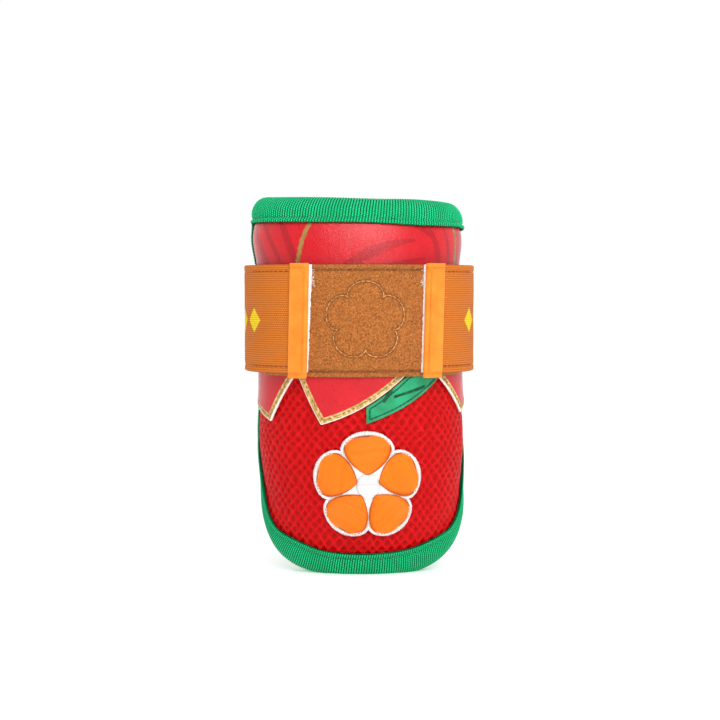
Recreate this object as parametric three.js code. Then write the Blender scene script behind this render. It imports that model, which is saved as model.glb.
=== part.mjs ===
// Padded elbow guard: a curved shell with a bound edge, leather panels stitched to its front, and an
// elastic strap that closes round the arm. Millimetres, +Z up, front to -Y, standing on its lower edge.
//
// Every piece is laid out flat and then bent. Flat places are (s, z, t): s runs round the arm from the
// middle of the front, z is height and t is how far out a point lies from the shell's own surface.
import * as THREE from 'three';
import { mergeVertices } from 'three/addons/utils/BufferGeometryUtils.js';
import { TessellateModifier } from 'three/addons/modifiers/TessellateModifier.js';

// Driving dimensions
const HEIGHT = 170.8;
const FRONT_Y = -38.4;
const FRONT_RADIUS = 56;
const SIDE_RADIUS = 37;
const SIDE_TURN = THREE.MathUtils.degToRad(30);
const STRAP_TOP = 140;
const PATCH_HEIGHT = 49.6;
const ELASTIC_WIDTH = 48.2;
const GAP = 0.3;
const LAYER_GAP = 0.5;

// Wall of the shell and the leather on it
const PAD_THICK = 9;
const PAD_EDGE_FLAT = 0.2;
const LEATHER = 1.1;
const PANEL_LOW = LAYER_GAP;
const PANEL_HIGH = PANEL_LOW + LEATHER;
const TRIM_LOW = PANEL_HIGH + LAYER_GAP;
const PETAL_HIGH = TRIM_LOW + LEATHER;

// Binding tape, folded round the edge of the wall
const TAPE = 1.3;
const TAPE_REACH = 12;
const FOOT_REACH = { more: 3.2, until: 14 };
const TOP_REACH = { more: 1.2, from: 135 };
const BESIDE = 0.5;
const FOLD_STEPS = { outside: 10, inside: 5 };
const ROLL_HIGH = PANEL_HIGH + LAYER_GAP + TAPE;
const ROLL_LOW = -PAD_THICK - LAYER_GAP - TAPE;
const ROLL_RADIUS = (ROLL_HIGH - ROLL_LOW) / 2;
const ROLL_MIDDLE = (ROLL_HIGH + ROLL_LOW) / 2;

// Flat outline of the shell, measured at the outer edge of the binding
const FOOT_PRESS = 4;
const CUP = { s: 83, z: 57 };
const CUP_BEND = { low: 41, s: 59, z: 8.5 };
const CUP_SHIFT = { by: 1, from: 40, until: 90 };
const SIDE_HALF = 85;
const CORNER = 16;
const TOP_FALL = { drop: 1.8, from: 125 };
const HALF_STEPS = 32;

// Shape of the shell by height: half of its width, and how far its front line stands back
const PROFILE = [
  { z: -12, halfWidth: 41.6, recess: 28.0 },
  { z: 0, halfWidth: 43.1, recess: 18.0 },
  { z: 11, halfWidth: 44.6, recess: 10.4 },
  { z: 23, halfWidth: 45.3, recess: 5.6 },
  { z: 39, halfWidth: 45.3, recess: 2.3 },
  { z: 59, halfWidth: 47.2, recess: 1.0 },
  { z: 86, halfWidth: 45.9, recess: 0.2 },
  { z: 116, halfWidth: 46.1, recess: 0.0 },
  { z: 139, halfWidth: 46.9, recess: 0.7 },
  { z: 153, halfWidth: 48.6, recess: 2.7 },
  { z: 163, halfWidth: 46.8, recess: 5.8 },
  { z: 170, halfWidth: 46.0, recess: 9.0 },
  { z: 181, halfWidth: 45.8, recess: 15.5 },
];

// The shell leans a little to one side, about the middle of the strap, and its side edges are drawn in
const LEAN = 0.0185;
const LEAN_MIDDLE = 120;
const TUCK = { deep: 3.6, from: 46, until: 86 };

// Where the upper panel laps over the lower one, both out of sight under the strap
const LOWER_PANEL_TOP = 102;
const LIFT_END = 108;
const LIFT_START = 115;
const UNDER_TAPE = 7.5;
const BESIDE_TAPE = TAPE_REACH + BESIDE;
const UPPER_WIDENS = 119;

// Cut lower edge of the upper panel, left to right: each curve's bend and the point it ends at
const LEFT_START_Z = 79;
const RIGHT_END_Z = 81.5;
const PETAL_EDGE = [
  { bendS: -52, bendZ: 72.5, s: -45, z: 69.5 },
  { bendS: -38.5, bendZ: 82, s: -30.8, z: 92 },
  { bendS: -26.5, bendZ: 81, s: -19.6, z: 69 },
  { bendS: 3, bendZ: 75.5, s: 24, z: 97.5 },
  { bendS: 38, bendZ: 88, s: 49.3, z: 72.8 },
];

// Leaf beside the middle petal
const LEAF_THICK = 0.9;
const LEAF_START = { s: -0.3, z: 76.8 };
const LEAF_EDGE = [
  { bendS: -0.3, bendZ: 73, s: -0.3, z: 69.5 },
  { bendS: 21, bendZ: 77, s: 33.6, z: 89 },
  { bendS: 31, bendZ: 91.6, s: 28.2, z: 93.4 },
  { bendS: 25, bendZ: 94, s: 21.3, z: 93.7 },
  { bendS: 11.2, bendZ: 83.8, s: -0.3, z: 76.8 },
];

// Blossom badge on the lower panel
const BADGE_Z = 42;
const BADGE_RADIUS = 24.2;
const BADGE_NOTCH = 6;
const BADGE_STEPS = 60;
const BADGE_THICK = 0.8;
const BADGE_PETALS = 5;
const BADGE_PETAL_STEPS = 8;
const BADGE_PETAL = { start: 5, bendWide: 11.3, bendLow: 10.5, tipWide: 14.5, tipHigh: 23, end: 22.2 };

// Plan of the strap: three arcs on each side, from the front round to the back
const STRAP_CLEAR = 0.2;
const STRAP_FRONT_Y = FRONT_Y - PETAL_HIGH - STRAP_CLEAR;
const STRAP_ARCS = { front: 61, side: 34.4, frontEnd: SIDE_TURN, sideEnd: THREE.MathUtils.degToRad(120) };
const HOOK_THICK = 0.7;
const PATCH = { half: 50, low: 0, high: 1.6 };
const HOOK_LOW = PATCH.high + GAP;
const HOOK = { end: 55, width: ELASTIC_WIDTH - GAP, low: HOOK_LOW, high: HOOK_LOW + HOOK_THICK };
const TAB_CLOTH = 0.6;
const TAB = { inner: HOOK.high + GAP, overhang: 0.6, steps: 4 };
const ELASTIC = { low: TAB.inner + TAB_CLOTH + GAP, thick: 1.4 };
const ELASTIC_HIGH = ELASTIC.low + ELASTIC.thick;
const TAB_OUTER = ELASTIC_HIGH + GAP + TAB_CLOTH;

// Ends of the strap: where the folded tab and the hook pad start, by distance from the middle of the front
const LEFT_END = { sign: -1, tab: 24.3, tabLength: 7.8, hook: 24.5 };
const RIGHT_END = { sign: 1, tab: 25.4, tabLength: 8.2, hook: 26 };

// Lengths of the facets that the bent pieces are cut into
const PAD_FACET = 12;
const PANEL_FACET = 12;
const TRIM_FACET = 8;
const STRAP_FACET = 4;
const CURVE_STEPS = 6;
const MAX_CUTS = 16;

// Colours and finish
const LOOKS = {
  padding: { color: 0x2b2422, roughness: 0.95 },
  redLeather: { color: 0xd0222e, roughness: 0.45 },
  embossedLeather: { color: 0xc4141b, roughness: 0.55 },
  greenTape: { color: 0x149a58, roughness: 0.9 },
  greenLeather: { color: 0x12a874, roughness: 0.5 },
  orangeThread: { color: 0xf2861c, roughness: 0.6 },
  whiteThread: { color: 0xf0ede6, roughness: 0.8 },
  loopPile: { color: 0xb06a32, roughness: 0.95 },
  elastic: { color: 0xcf7028, roughness: 0.85 },
  tabCloth: { color: 0xf49732, roughness: 0.75 },
};

// Curved surface of the shell
const profileAt = new THREE.CubicInterpolant(
  PROFILE.map((row) => row.z),
  PROFILE.flatMap((row) => [row.halfWidth, row.recess]),
  2,
);
const SECTION_HALF = SIDE_RADIUS + (FRONT_RADIUS - SIDE_RADIUS) * Math.sin(SIDE_TURN);
const NUDGE = 0.05;
const SAME_POINT = 1e-4;

function arcChain(s, radii, turns) {
  // A point on arcs that follow each other smoothly from the front, with its heading
  let heading = 0;
  let left = Math.abs(s);
  let x = 0;
  let y = 0;
  radii.forEach((radius, i) => {
    const last = i === radii.length - 1;
    const turn = last ? left / radius : Math.min(left / radius, turns[i] - heading);
    x += radius * (Math.sin(heading + turn) - Math.sin(heading));
    y += radius * (Math.cos(heading) - Math.cos(heading + turn));
    heading += turn;
    left -= turn * radius;
  });
  const side = Math.sign(s);
  return { x: side * x, y, heading: side * heading };
}

function shellBase(s, z) {
  const [halfWidth, recess] = profileAt.evaluate(z);
  const scale = halfWidth / SECTION_HALF;
  const place = arcChain(s, [FRONT_RADIUS, SIDE_RADIUS], [SIDE_TURN]);
  const lean = LEAN * (LEAN_MIDDLE - z);
  return new THREE.Vector3(scale * place.x + lean, FRONT_Y + recess + scale * place.y, z);
}

function shellPoint(s, z, t) {
  const across = shellBase(s + NUDGE, z).sub(shellBase(s - NUDGE, z));
  const upward = shellBase(s, z + NUDGE).sub(shellBase(s, z - NUDGE));
  const outward = across.cross(upward).normalize();
  const tuck = TUCK.deep * THREE.MathUtils.smoothstep(Math.abs(s), TUCK.from, TUCK.until);
  return shellBase(s, z).addScaledVector(outward, t - tuck);
}

// Loop of the strap
const STRAP_BACK_RADIUS =
  arcChain(
    STRAP_ARCS.front * STRAP_ARCS.frontEnd + STRAP_ARCS.side * (STRAP_ARCS.sideEnd - STRAP_ARCS.frontEnd),
    [STRAP_ARCS.front, STRAP_ARCS.side],
    [STRAP_ARCS.frontEnd],
  ).x / Math.sin(STRAP_ARCS.sideEnd);
const STRAP_HALF_LOOP =
  STRAP_ARCS.front * STRAP_ARCS.frontEnd +
  STRAP_ARCS.side * (STRAP_ARCS.sideEnd - STRAP_ARCS.frontEnd) +
  STRAP_BACK_RADIUS * (Math.PI - STRAP_ARCS.sideEnd);

function strapPoint(s, z, t) {
  const around = s > STRAP_HALF_LOOP ? s - 2 * STRAP_HALF_LOOP : s;
  const place = arcChain(
    around,
    [STRAP_ARCS.front, STRAP_ARCS.side, STRAP_BACK_RADIUS],
    [STRAP_ARCS.frontEnd, STRAP_ARCS.sideEnd],
  );
  const x = place.x + t * Math.sin(place.heading);
  const y = STRAP_FRONT_Y + place.y - t * Math.cos(place.heading);
  return new THREE.Vector3(x, y, z);
}

// Bending a flat geometry, and the flat plates that are bent
function bend(geometry, place) {
  geometry.deleteAttribute('normal');
  geometry.deleteAttribute('uv');
  const flat = mergeVertices(geometry, SAME_POINT);
  const position = flat.getAttribute('position');
  for (let i = 0; i < position.count; i += 1) {
    const point = place(position.getX(i), position.getY(i), position.getZ(i));
    position.setXYZ(i, point.x, point.y, point.z);
  }
  flat.computeVertexNormals();
  return flat;
}

function plate(shape, low, high, facet, place) {
  const sizes = { depth: high - low, bevelEnabled: false, curveSegments: CURVE_STEPS };
  const flat = new THREE.ExtrudeGeometry(shape, sizes);
  flat.translate(0, 0, low);
  return bend(new TessellateModifier(facet, MAX_CUTS).modify(flat), place);
}

function band(start, length, low, high, width) {
  const flat = new THREE.BoxGeometry(length, width, high - low, Math.ceil(length / STRAP_FACET), 1, 1);
  flat.translate(start + length / 2, STRAP_TOP - width / 2, (low + high) / 2);
  return bend(flat, strapPoint);
}

// Flat outline of the shell, and lines set in from it
function shellOutline() {
  const half = new THREE.Path();
  half.moveTo(0, -FOOT_PRESS);
  half.bezierCurveTo(CUP_BEND.low, -FOOT_PRESS, CUP_BEND.s, CUP_BEND.z, CUP.s, CUP.z);
  half.lineTo(SIDE_HALF, HEIGHT - CORNER);
  half.absarc(SIDE_HALF - CORNER, HEIGHT - CORNER, CORNER, 0, Math.PI / 2, false);
  half.lineTo(0, HEIGHT);
  const right = half.getSpacedPoints(HALF_STEPS);
  const left = right.slice(1, -1).reverse().map((point) => new THREE.Vector2(-point.x, point.y));
  const outline = [...right, ...left];
  outline.forEach((point) => {
    const share = THREE.MathUtils.smoothstep(point.y, TOP_FALL.from, HEIGHT);
    point.y -= (TOP_FALL.drop * share * point.x) / SIDE_HALF;
    point.x -= CUP_SHIFT.by * (1 - THREE.MathUtils.smoothstep(point.y, CUP_SHIFT.from, CUP_SHIFT.until));
  });
  return outline;
}

const OUTLINE = shellOutline();
const OUTWARD = OUTLINE.map((_, i) => {
  const next = OUTLINE[(i + 1) % OUTLINE.length];
  const last = OUTLINE[(i + OUTLINE.length - 1) % OUTLINE.length];
  return new THREE.Vector2(next.y - last.y, last.x - next.x).normalize();
});

function insetOutline(distance) {
  return OUTLINE.map((point, i) => point.clone().addScaledVector(OUTWARD[i], -distance));
}

function sideAt(z, distance) {
  const line = insetOutline(distance);
  const i = line.findIndex((point, k) => point.y <= z && line[k + 1].y > z);
  return THREE.MathUtils.mapLinear(z, line[i].y, line[i + 1].y, line[i].x, line[i + 1].x);
}

function addCurves(shape, rows) {
  rows.forEach((row) => shape.quadraticCurveTo(row.bendS, row.bendZ, row.s, row.z));
}

// Padded wall with a rounded edge
function padBody() {
  const round = (PAD_THICK - PAD_EDGE_FLAT) / 2;
  const shape = new THREE.Shape(insetOutline(ROLL_RADIUS));
  const flat = new THREE.ExtrudeGeometry(shape, {
    depth: PAD_THICK - 2 * round,
    bevelThickness: round,
    bevelSize: round,
    bevelSegments: 2,
  });
  flat.translate(0, 0, round - PAD_THICK);
  return bend(new TessellateModifier(PAD_FACET, MAX_CUTS).modify(flat), (s, z, t) => {
    const point = shellPoint(s, z, t);
    point.z = Math.max(point.z, TAPE + GAP);
    return point;
  });
}

// Binding: a ring of the folded tape's section, spread along the outline and pressed flat on the floor
function edgeBinding() {
  const ringRadius = 100;
  const fold = (radius, from, to, steps) =>
    Array.from({ length: steps + 1 }, (_, i) => {
      const angle = THREE.MathUtils.lerp(from, to, i / steps);
      const reach = ringRadius - ROLL_RADIUS + radius * Math.cos(angle);
      return new THREE.Vector2(reach, ROLL_MIDDLE + radius * Math.sin(angle));
    });
  const outside = fold(ROLL_RADIUS, -Math.PI / 2, Math.PI / 2, FOLD_STEPS.outside);
  const inside = fold(ROLL_RADIUS - TAPE, Math.PI / 2, -Math.PI / 2, FOLD_STEPS.inside);
  const tip = ringRadius - TAPE_REACH;
  const section = [
    new THREE.Vector2(tip, ROLL_LOW),
    ...outside,
    new THREE.Vector2(tip, ROLL_HIGH),
    new THREE.Vector2(tip, ROLL_HIGH - TAPE),
    ...inside,
    new THREE.Vector2(tip, ROLL_LOW + TAPE),
  ];
  const ring = new THREE.LatheGeometry([...section, section[0]], OUTLINE.length);
  const step = (2 * Math.PI) / OUTLINE.length;
  return bend(ring, (x, y, z) => {
    const along = Math.round(Math.atan2(x, z) / step);
    const i = (along + OUTLINE.length) % OUTLINE.length;
    const past = Math.hypot(x, z) - ringRadius;
    const foot = FOOT_REACH.more * (1 - THREE.MathUtils.smoothstep(OUTLINE[i].y, 0, FOOT_REACH.until));
    const top = TOP_REACH.more * THREE.MathUtils.smoothstep(OUTLINE[i].y, TOP_REACH.from, HEIGHT);
    const reach = past < -ROLL_RADIUS - GAP ? past - foot - top : past;
    const flat = OUTLINE[i].clone().addScaledVector(OUTWARD[i], reach);
    const point = shellPoint(flat.x, flat.y, y);
    const outer = Math.hypot(past + ROLL_RADIUS, y - ROLL_MIDDLE) > ROLL_RADIUS - TAPE / 2;
    point.z = Math.max(point.z, outer ? 0 : TAPE);
    return point;
  });
}

// Leather panels
function lowerPanel() {
  const top = sideAt(LOWER_PANEL_TOP, UNDER_TAPE);
  const line = insetOutline(UNDER_TAPE);
  const right = line.slice(0, HALF_STEPS).filter((point) => point.y < LOWER_PANEL_TOP);
  const left = line.slice(HALF_STEPS).filter((point) => point.y < LOWER_PANEL_TOP);
  const corners = [new THREE.Vector2(top, LOWER_PANEL_TOP), new THREE.Vector2(-top, LOWER_PANEL_TOP)];
  const shape = new THREE.Shape([...right, ...corners, ...left]);
  return plate(shape, PANEL_LOW, PANEL_HIGH, PANEL_FACET, shellPoint);
}

function upperPanel() {
  const sideZ = [RIGHT_END_Z, LOWER_PANEL_TOP, LIFT_START];
  const beside = (z) => sideAt(z, BESIDE_TAPE);
  const shape = new THREE.Shape();
  shape.moveTo(-beside(LEFT_START_Z), LEFT_START_Z);
  addCurves(shape, PETAL_EDGE);
  sideZ.forEach((z) => shape.lineTo(beside(z), z));
  const above = insetOutline(UNDER_TAPE).filter((point) => point.y > UPPER_WIDENS);
  above.forEach((point) => shape.lineTo(point.x, point.y));
  sideZ.slice(1).reverse().forEach((z) => shape.lineTo(-beside(z), z));
  shape.closePath();
  const lift = TRIM_LOW - PANEL_LOW;
  return plate(shape, PANEL_LOW, PANEL_HIGH, PANEL_FACET, (s, z, t) =>
    shellPoint(s, z, t + lift * (1 - THREE.MathUtils.smoothstep(z, LIFT_END, LIFT_START))),
  );
}

function leafPatch() {
  const shape = new THREE.Shape();
  shape.moveTo(LEAF_START.s, LEAF_START.z);
  addCurves(shape, LEAF_EDGE);
  return plate(shape, TRIM_LOW, TRIM_LOW + LEAF_THICK, TRIM_FACET, shellPoint);
}

// Blossom badge: a scalloped backing and its petals
function badgeBacking() {
  const points = Array.from({ length: BADGE_STEPS }, (_, i) => {
    const angle = (2 * Math.PI * i) / BADGE_STEPS;
    const lobe = Math.sqrt(Math.abs(Math.cos((BADGE_PETALS * angle) / 2)));
    const radius = BADGE_RADIUS - BADGE_NOTCH * (1 - lobe);
    return new THREE.Vector2(-radius * Math.sin(angle), BADGE_Z + radius * Math.cos(angle));
  });
  return plate(new THREE.Shape(points), TRIM_LOW, TRIM_LOW + BADGE_THICK, TRIM_FACET, shellPoint);
}

function badgePetal(number) {
  const petal = BADGE_PETAL;
  const shape = new THREE.Shape();
  shape.moveTo(0, petal.start);
  shape.bezierCurveTo(petal.bendWide, petal.bendLow, petal.tipWide, petal.tipHigh, 0, petal.end);
  shape.bezierCurveTo(-petal.tipWide, petal.tipHigh, -petal.bendWide, petal.bendLow, 0, petal.start);
  const middle = new THREE.Vector2();
  const turn = (2 * Math.PI * number) / BADGE_PETALS;
  const points = shape.getPoints(BADGE_PETAL_STEPS).slice(0, -1);
  points.forEach((point) => point.rotateAround(middle, turn).add(new THREE.Vector2(0, BADGE_Z)));
  const low = TRIM_LOW + BADGE_THICK + GAP;
  return plate(new THREE.Shape(points), low, low + BADGE_THICK, TRIM_FACET, shellPoint);
}

// Strap pieces
function strapElastic() {
  const start = RIGHT_END.tab + TAB_CLOTH + GAP;
  const end = 2 * STRAP_HALF_LOOP - (LEFT_END.tab + TAB_CLOTH + GAP);
  return band(start, end - start, ELASTIC.low, ELASTIC_HIGH, ELASTIC_WIDTH);
}

function loopPatch() {
  return band(-PATCH.half, 2 * PATCH.half, PATCH.low, PATCH.high, PATCH_HEIGHT);
}

function hookPad(end) {
  const start = end.sign > 0 ? end.hook : -HOOK.end;
  return band(start, HOOK.end - end.hook, HOOK.low, HOOK.high, HOOK.width);
}

function pullTab(end) {
  // The cloth's section is a U that closes at the strap's end; it is drawn as (t, s)
  const last = end.tab + end.tabLength;
  const inside = end.tab + TAB_CLOTH;
  const along = (from, to, t) =>
    Array.from({ length: TAB.steps + 1 }, (_, i) => {
      const s = THREE.MathUtils.lerp(from, to, i / TAB.steps);
      return new THREE.Vector2(t, end.sign * s);
    });
  const shape = new THREE.Shape([
    ...along(last, end.tab, TAB.inner),
    ...along(end.tab, last, TAB_OUTER),
    ...along(last, inside, TAB_OUTER - TAB_CLOTH),
    ...along(inside, last, TAB.inner + TAB_CLOTH),
  ]);
  const height = PATCH_HEIGHT + 2 * TAB.overhang;
  const flat = new THREE.ExtrudeGeometry(shape, { depth: height, bevelEnabled: false });
  flat.translate(0, 0, STRAP_TOP + TAB.overhang - height);
  return bend(flat, (t, s, z) => strapPoint(s, z, t));
}

// The guard
function mesh(name, geometry, look) {
  const piece = new THREE.Mesh(geometry, new THREE.MeshStandardMaterial({ ...look, metalness: 0 }));
  piece.name = name;
  return piece;
}

const shell = new THREE.Group();
shell.add(mesh('pad_body', padBody(), LOOKS.padding));
shell.add(mesh('edge_binding', edgeBinding(), LOOKS.greenTape));
shell.add(mesh('lower_panel', lowerPanel(), LOOKS.embossedLeather));
shell.add(mesh('upper_panel', upperPanel(), LOOKS.redLeather));
shell.add(mesh('leaf_patch', leafPatch(), LOOKS.greenLeather));

const badge = new THREE.Group();
badge.add(mesh('badge_backing', badgeBacking(), LOOKS.whiteThread));
for (let number = 0; number < BADGE_PETALS; number += 1) {
  badge.add(mesh(`badge_petal_${number + 1}`, badgePetal(number), LOOKS.orangeThread));
}

const strap = new THREE.Group();
strap.add(mesh('strap_elastic', strapElastic(), LOOKS.elastic));
strap.add(mesh('loop_patch', loopPatch(), LOOKS.loopPile));
strap.add(mesh('hook_pad_left', hookPad(LEFT_END), LOOKS.whiteThread));
strap.add(mesh('hook_pad_right', hookPad(RIGHT_END), LOOKS.whiteThread));
strap.add(mesh('pull_tab_left', pullTab(LEFT_END), LOOKS.tabCloth));
strap.add(mesh('pull_tab_right', pullTab(RIGHT_END), LOOKS.tabCloth));

const guard = new THREE.Group();
guard.add(shell, badge, strap);

export default guard;
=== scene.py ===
import math

import bpy
import numpy as np
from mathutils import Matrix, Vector
from mathutils.geometry import delaunay_2d_cdt


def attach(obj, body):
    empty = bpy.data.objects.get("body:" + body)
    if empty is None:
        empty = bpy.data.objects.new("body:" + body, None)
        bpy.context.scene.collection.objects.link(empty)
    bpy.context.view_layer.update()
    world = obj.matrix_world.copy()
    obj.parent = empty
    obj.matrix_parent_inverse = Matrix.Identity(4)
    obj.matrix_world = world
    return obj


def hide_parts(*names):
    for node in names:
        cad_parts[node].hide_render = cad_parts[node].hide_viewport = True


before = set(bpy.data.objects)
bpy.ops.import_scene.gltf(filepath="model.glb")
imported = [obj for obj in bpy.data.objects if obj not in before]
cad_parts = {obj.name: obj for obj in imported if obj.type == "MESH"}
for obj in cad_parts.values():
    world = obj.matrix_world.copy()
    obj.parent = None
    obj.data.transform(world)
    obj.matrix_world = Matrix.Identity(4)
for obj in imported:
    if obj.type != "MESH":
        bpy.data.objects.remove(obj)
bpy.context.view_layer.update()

# Looks of a padded elbow guard. Sizes are millimetres, as in the part's source, and meshes are metres.
# Every piece is laid out flat as (s, z, t) and bent: s runs round the arm from the middle of the front,
# z is height and t is how far a point lies out from the surface that it is bent onto.
MM = 0.001
rng = np.random.default_rng(7)

# Shell
HEIGHT = 170.8
FRONT_Y = -38.4
FRONT_RADIUS = 56.0
SIDE_RADIUS = 37.0
SIDE_TURN = math.radians(30)
SECTION_HALF = SIDE_RADIUS + (FRONT_RADIUS - SIDE_RADIUS) * math.sin(SIDE_TURN)
LEAN = 0.0185
LEAN_MIDDLE = 120.0
NUDGE = 0.05
TUCK = 3.6
TUCK_FROM = 46.0
TUCK_UNTIL = 86.0
GAP = 0.3

# Shape of the shell by height: z, half width, recess of the front line
PROFILE = np.array([
    (-12, 41.6, 28.0),
    (0, 43.1, 18.0),
    (11, 44.6, 10.4),
    (23, 45.3, 5.6),
    (39, 45.3, 2.3),
    (59, 47.2, 1.0),
    (86, 45.9, 0.2),
    (116, 46.1, 0.0),
    (139, 46.9, 0.7),
    (153, 48.6, 2.7),
    (163, 46.8, 5.8),
    (170, 46.0, 9.0),
    (181, 45.8, 15.5),
])

# Layers on the shell, as heights above its surface
PAD_THICK = 9.0
PANEL_LOW = 0.5
PANEL_HIGH = 1.6
TRIM_LOW = 2.1
LEAF_HIGH = 3.0
BADGE_HIGH = 2.9
PETAL_LOW = 3.2

# Binding tape
TAPE = 1.3
TAPE_REACH = 12.0
FOOT_MORE = 3.2
FOOT_UNTIL = 14.0
TOP_MORE = 1.2
TOP_MORE_FROM = 135.0
LEG_END = 3.2
ROLL_HIGH = 3.4
ROLL_LOW = -10.8
ROLL_RADIUS = (ROLL_HIGH - ROLL_LOW) / 2
ROLL_MIDDLE = (ROLL_HIGH + ROLL_LOW) / 2

# Flat outline of the shell
FOOT_PRESS = 4.0
CUP = (83.0, 57.0)
CUP_BENDS = ((41.0, -FOOT_PRESS), (59.0, 8.5))
CUP_SHIFT = 1.0
CUP_SHIFT_FROM = 40.0
CUP_SHIFT_UNTIL = 90.0
SIDE_HALF = 85.0
CORNER = 16.0
TOP_FALL_DROP = 1.8
TOP_FALL_FROM = 125.0
OUTLINE_STEP = 0.5
OUTLINE_SOFTEN = 3.0

# Panels
LOWER_PANEL_TOP = 102.0
LIFT_END = 108.0
LIFT_START = 115.0
UNDER_TAPE = 7.5
BESIDE_TAPE = TAPE_REACH + 0.5
UPPER_WIDENS = 119.0
LEFT_START_Z = 79.0
RIGHT_END_Z = 81.5

# Cut lower edge of the upper panel: bend s, bend z, end s, end z
PETAL_EDGE = [
    (-52, 72.5, -45, 69.5),
    (-38.5, 82, -30.8, 92),
    (-26.5, 81, -19.6, 69),
    (3, 75.5, 24, 97.5),
    (38, 88, 49.3, 72.8),
]

# Leaf: its start, then bend s, bend z, end s, end z
LEAF_START = (-0.3, 76.8)
LEAF_EDGE = [
    (-0.3, 73, -0.3, 69.5),
    (21, 77, 33.6, 89),
    (31, 91.6, 28.2, 93.4),
    (25, 94, 21.3, 93.7),
    (11.2, 83.8, -0.3, 76.8),
]
LEAF_VEINS = [((7.2, 79.4), (10.7, 84.2)), ((12.1, 81.5), (26.2, 85.7))]

# Blossom badge
BADGE_Z = 42.0
BADGE_RADIUS = 24.2
BADGE_NOTCH = 6.0
BADGE_PETALS = 5
BADGE_CURVE = ((0, 5), (11.3, 10.5), (14.5, 23), (0, 22.2))

# Strap
STRAP_TOP = 140.0
PATCH_HEIGHT = 49.6
ELASTIC_WIDTH = 48.2
PATCH_LOW = STRAP_TOP - PATCH_HEIGHT
ELASTIC_LOW = STRAP_TOP - ELASTIC_WIDTH
HOOK_LOW = ELASTIC_LOW + GAP
STRAP_MIDDLE = STRAP_TOP - PATCH_HEIGHT / 2
STRAP_FRONT_Y = FRONT_Y - 3.4
STRAP_RADII = (61.0, 34.4)
STRAP_TURNS = (SIDE_TURN, math.radians(120))
PATCH_HALF = 50.0
PATCH_HIGH = 1.6
HOOK = {"end": 55.0, "low": 1.9, "high": 2.6}
TAB = {"low": 2.9, "high": 6.1, "cloth": 0.6, "overhang": 0.6}
ELASTIC = {"low": 3.8, "high": 5.2}

# Ends of the strap: side, start and end of the folded tab, start of the hook pad, slant of both
LEFT_END = {"side": -1, "start": 24.3, "end": 32.1, "hook": 24.0, "slant": 0.021, "hook_slant": 0.042}
RIGHT_END = {"side": 1, "start": 25.4, "end": 33.6, "hook": 25.5, "slant": 0.030, "hook_slant": 0.030}


# Curved surfaces

def smooth_step(value, low, high):
    share = np.clip((value - low) / (high - low), 0, 1)
    return share * share * (3 - 2 * share)


def hump(value, middle, wide):
    """1 at a middle value, falling smoothly to 0 on both sides."""
    return np.exp(-((value - middle) / wide) ** 2)


def unit(vectors):
    return vectors / np.linalg.norm(vectors, axis=-1, keepdims=True)


def profile_at(z):
    """Half width and recess at each height, on a smooth curve through the profile's rows."""
    knots = PROFILE[:, 0]
    slopes = np.diff(PROFILE[:, 1:], axis=0) / np.diff(knots)[:, None]
    tangents = np.vstack([slopes[:1], (slopes[:-1] + slopes[1:]) / 2, slopes[-1:]])
    i = np.clip(np.searchsorted(knots, z, side="right") - 1, 0, len(knots) - 2)
    step = (knots[i + 1] - knots[i])[..., None]
    u = (z - knots[i])[..., None] / step
    start, end = PROFILE[i, 1:], PROFILE[i + 1, 1:]
    rise = (u ** 3 - 2 * u ** 2 + u) * tangents[i] + (u ** 3 - u ** 2) * tangents[i + 1]
    level = (2 * u ** 3 - 3 * u ** 2 + 1) * start + (3 * u ** 2 - 2 * u ** 3) * end
    values = level + rise * step
    return values[..., 0], values[..., 1]


def arc_chain(s, radii, turns):
    """Points on arcs that follow each other smoothly from the front, with their heading."""
    left = np.abs(s)
    heading = np.zeros_like(left)
    x = np.zeros_like(left)
    y = np.zeros_like(left)
    for i, radius in enumerate(radii):
        turn = left / radius
        if i < len(turns):
            turn = np.minimum(turn, turns[i] - heading)
        x = x + radius * (np.sin(heading + turn) - np.sin(heading))
        y = y + radius * (np.cos(heading) - np.cos(heading + turn))
        heading = heading + turn
        left = left - turn * radius
    side = np.sign(s)
    return side * x, y, side * heading


def shell_base(s, z):
    half_width, recess = profile_at(z)
    scale = half_width / SECTION_HALF
    x, y, _ = arc_chain(s, (FRONT_RADIUS, SIDE_RADIUS), (SIDE_TURN,))
    return np.stack([scale * x + LEAN * (LEAN_MIDDLE - z), FRONT_Y + recess + scale * y, z], -1)


def shell_place(flat):
    """Bends flat places onto the shell."""
    s, z, t = np.asarray(flat, float).T
    across = shell_base(s + NUDGE, z) - shell_base(s - NUDGE, z)
    upward = shell_base(s, z + NUDGE) - shell_base(s, z - NUDGE)
    tuck = TUCK * smooth_step(np.abs(s), TUCK_FROM, TUCK_UNTIL)
    return shell_base(s, z) + unit(np.cross(across, upward)) * (t - tuck)[:, None]


def shell_above(lowest):
    """The shell's bend for a piece that stays at or above some height."""
    def place(flat):
        bent = shell_place(flat)
        bent[:, 2] = np.maximum(bent[:, 2], lowest)
        return bent
    return place


def upper_place(flat):
    """The shell's bend for the upper panel, which stands off it where it laps over the lower one."""
    lifted = np.array(flat, float)
    lifted[:, 2] += (TRIM_LOW - PANEL_LOW) * (1 - smooth_step(lifted[:, 1], LIFT_END, LIFT_START))
    return shell_place(lifted)


FRONT_RUN = STRAP_RADII[0] * STRAP_TURNS[0]
SIDE_RUN = STRAP_RADII[1] * (STRAP_TURNS[1] - STRAP_TURNS[0])
STRAP_WIDE = arc_chain(np.array([FRONT_RUN + SIDE_RUN]), STRAP_RADII, STRAP_TURNS[:1])[0][0]
STRAP_BACK_RADIUS = STRAP_WIDE / math.sin(STRAP_TURNS[1])
STRAP_HALF_LOOP = FRONT_RUN + SIDE_RUN + STRAP_BACK_RADIUS * (math.pi - STRAP_TURNS[1])


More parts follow.
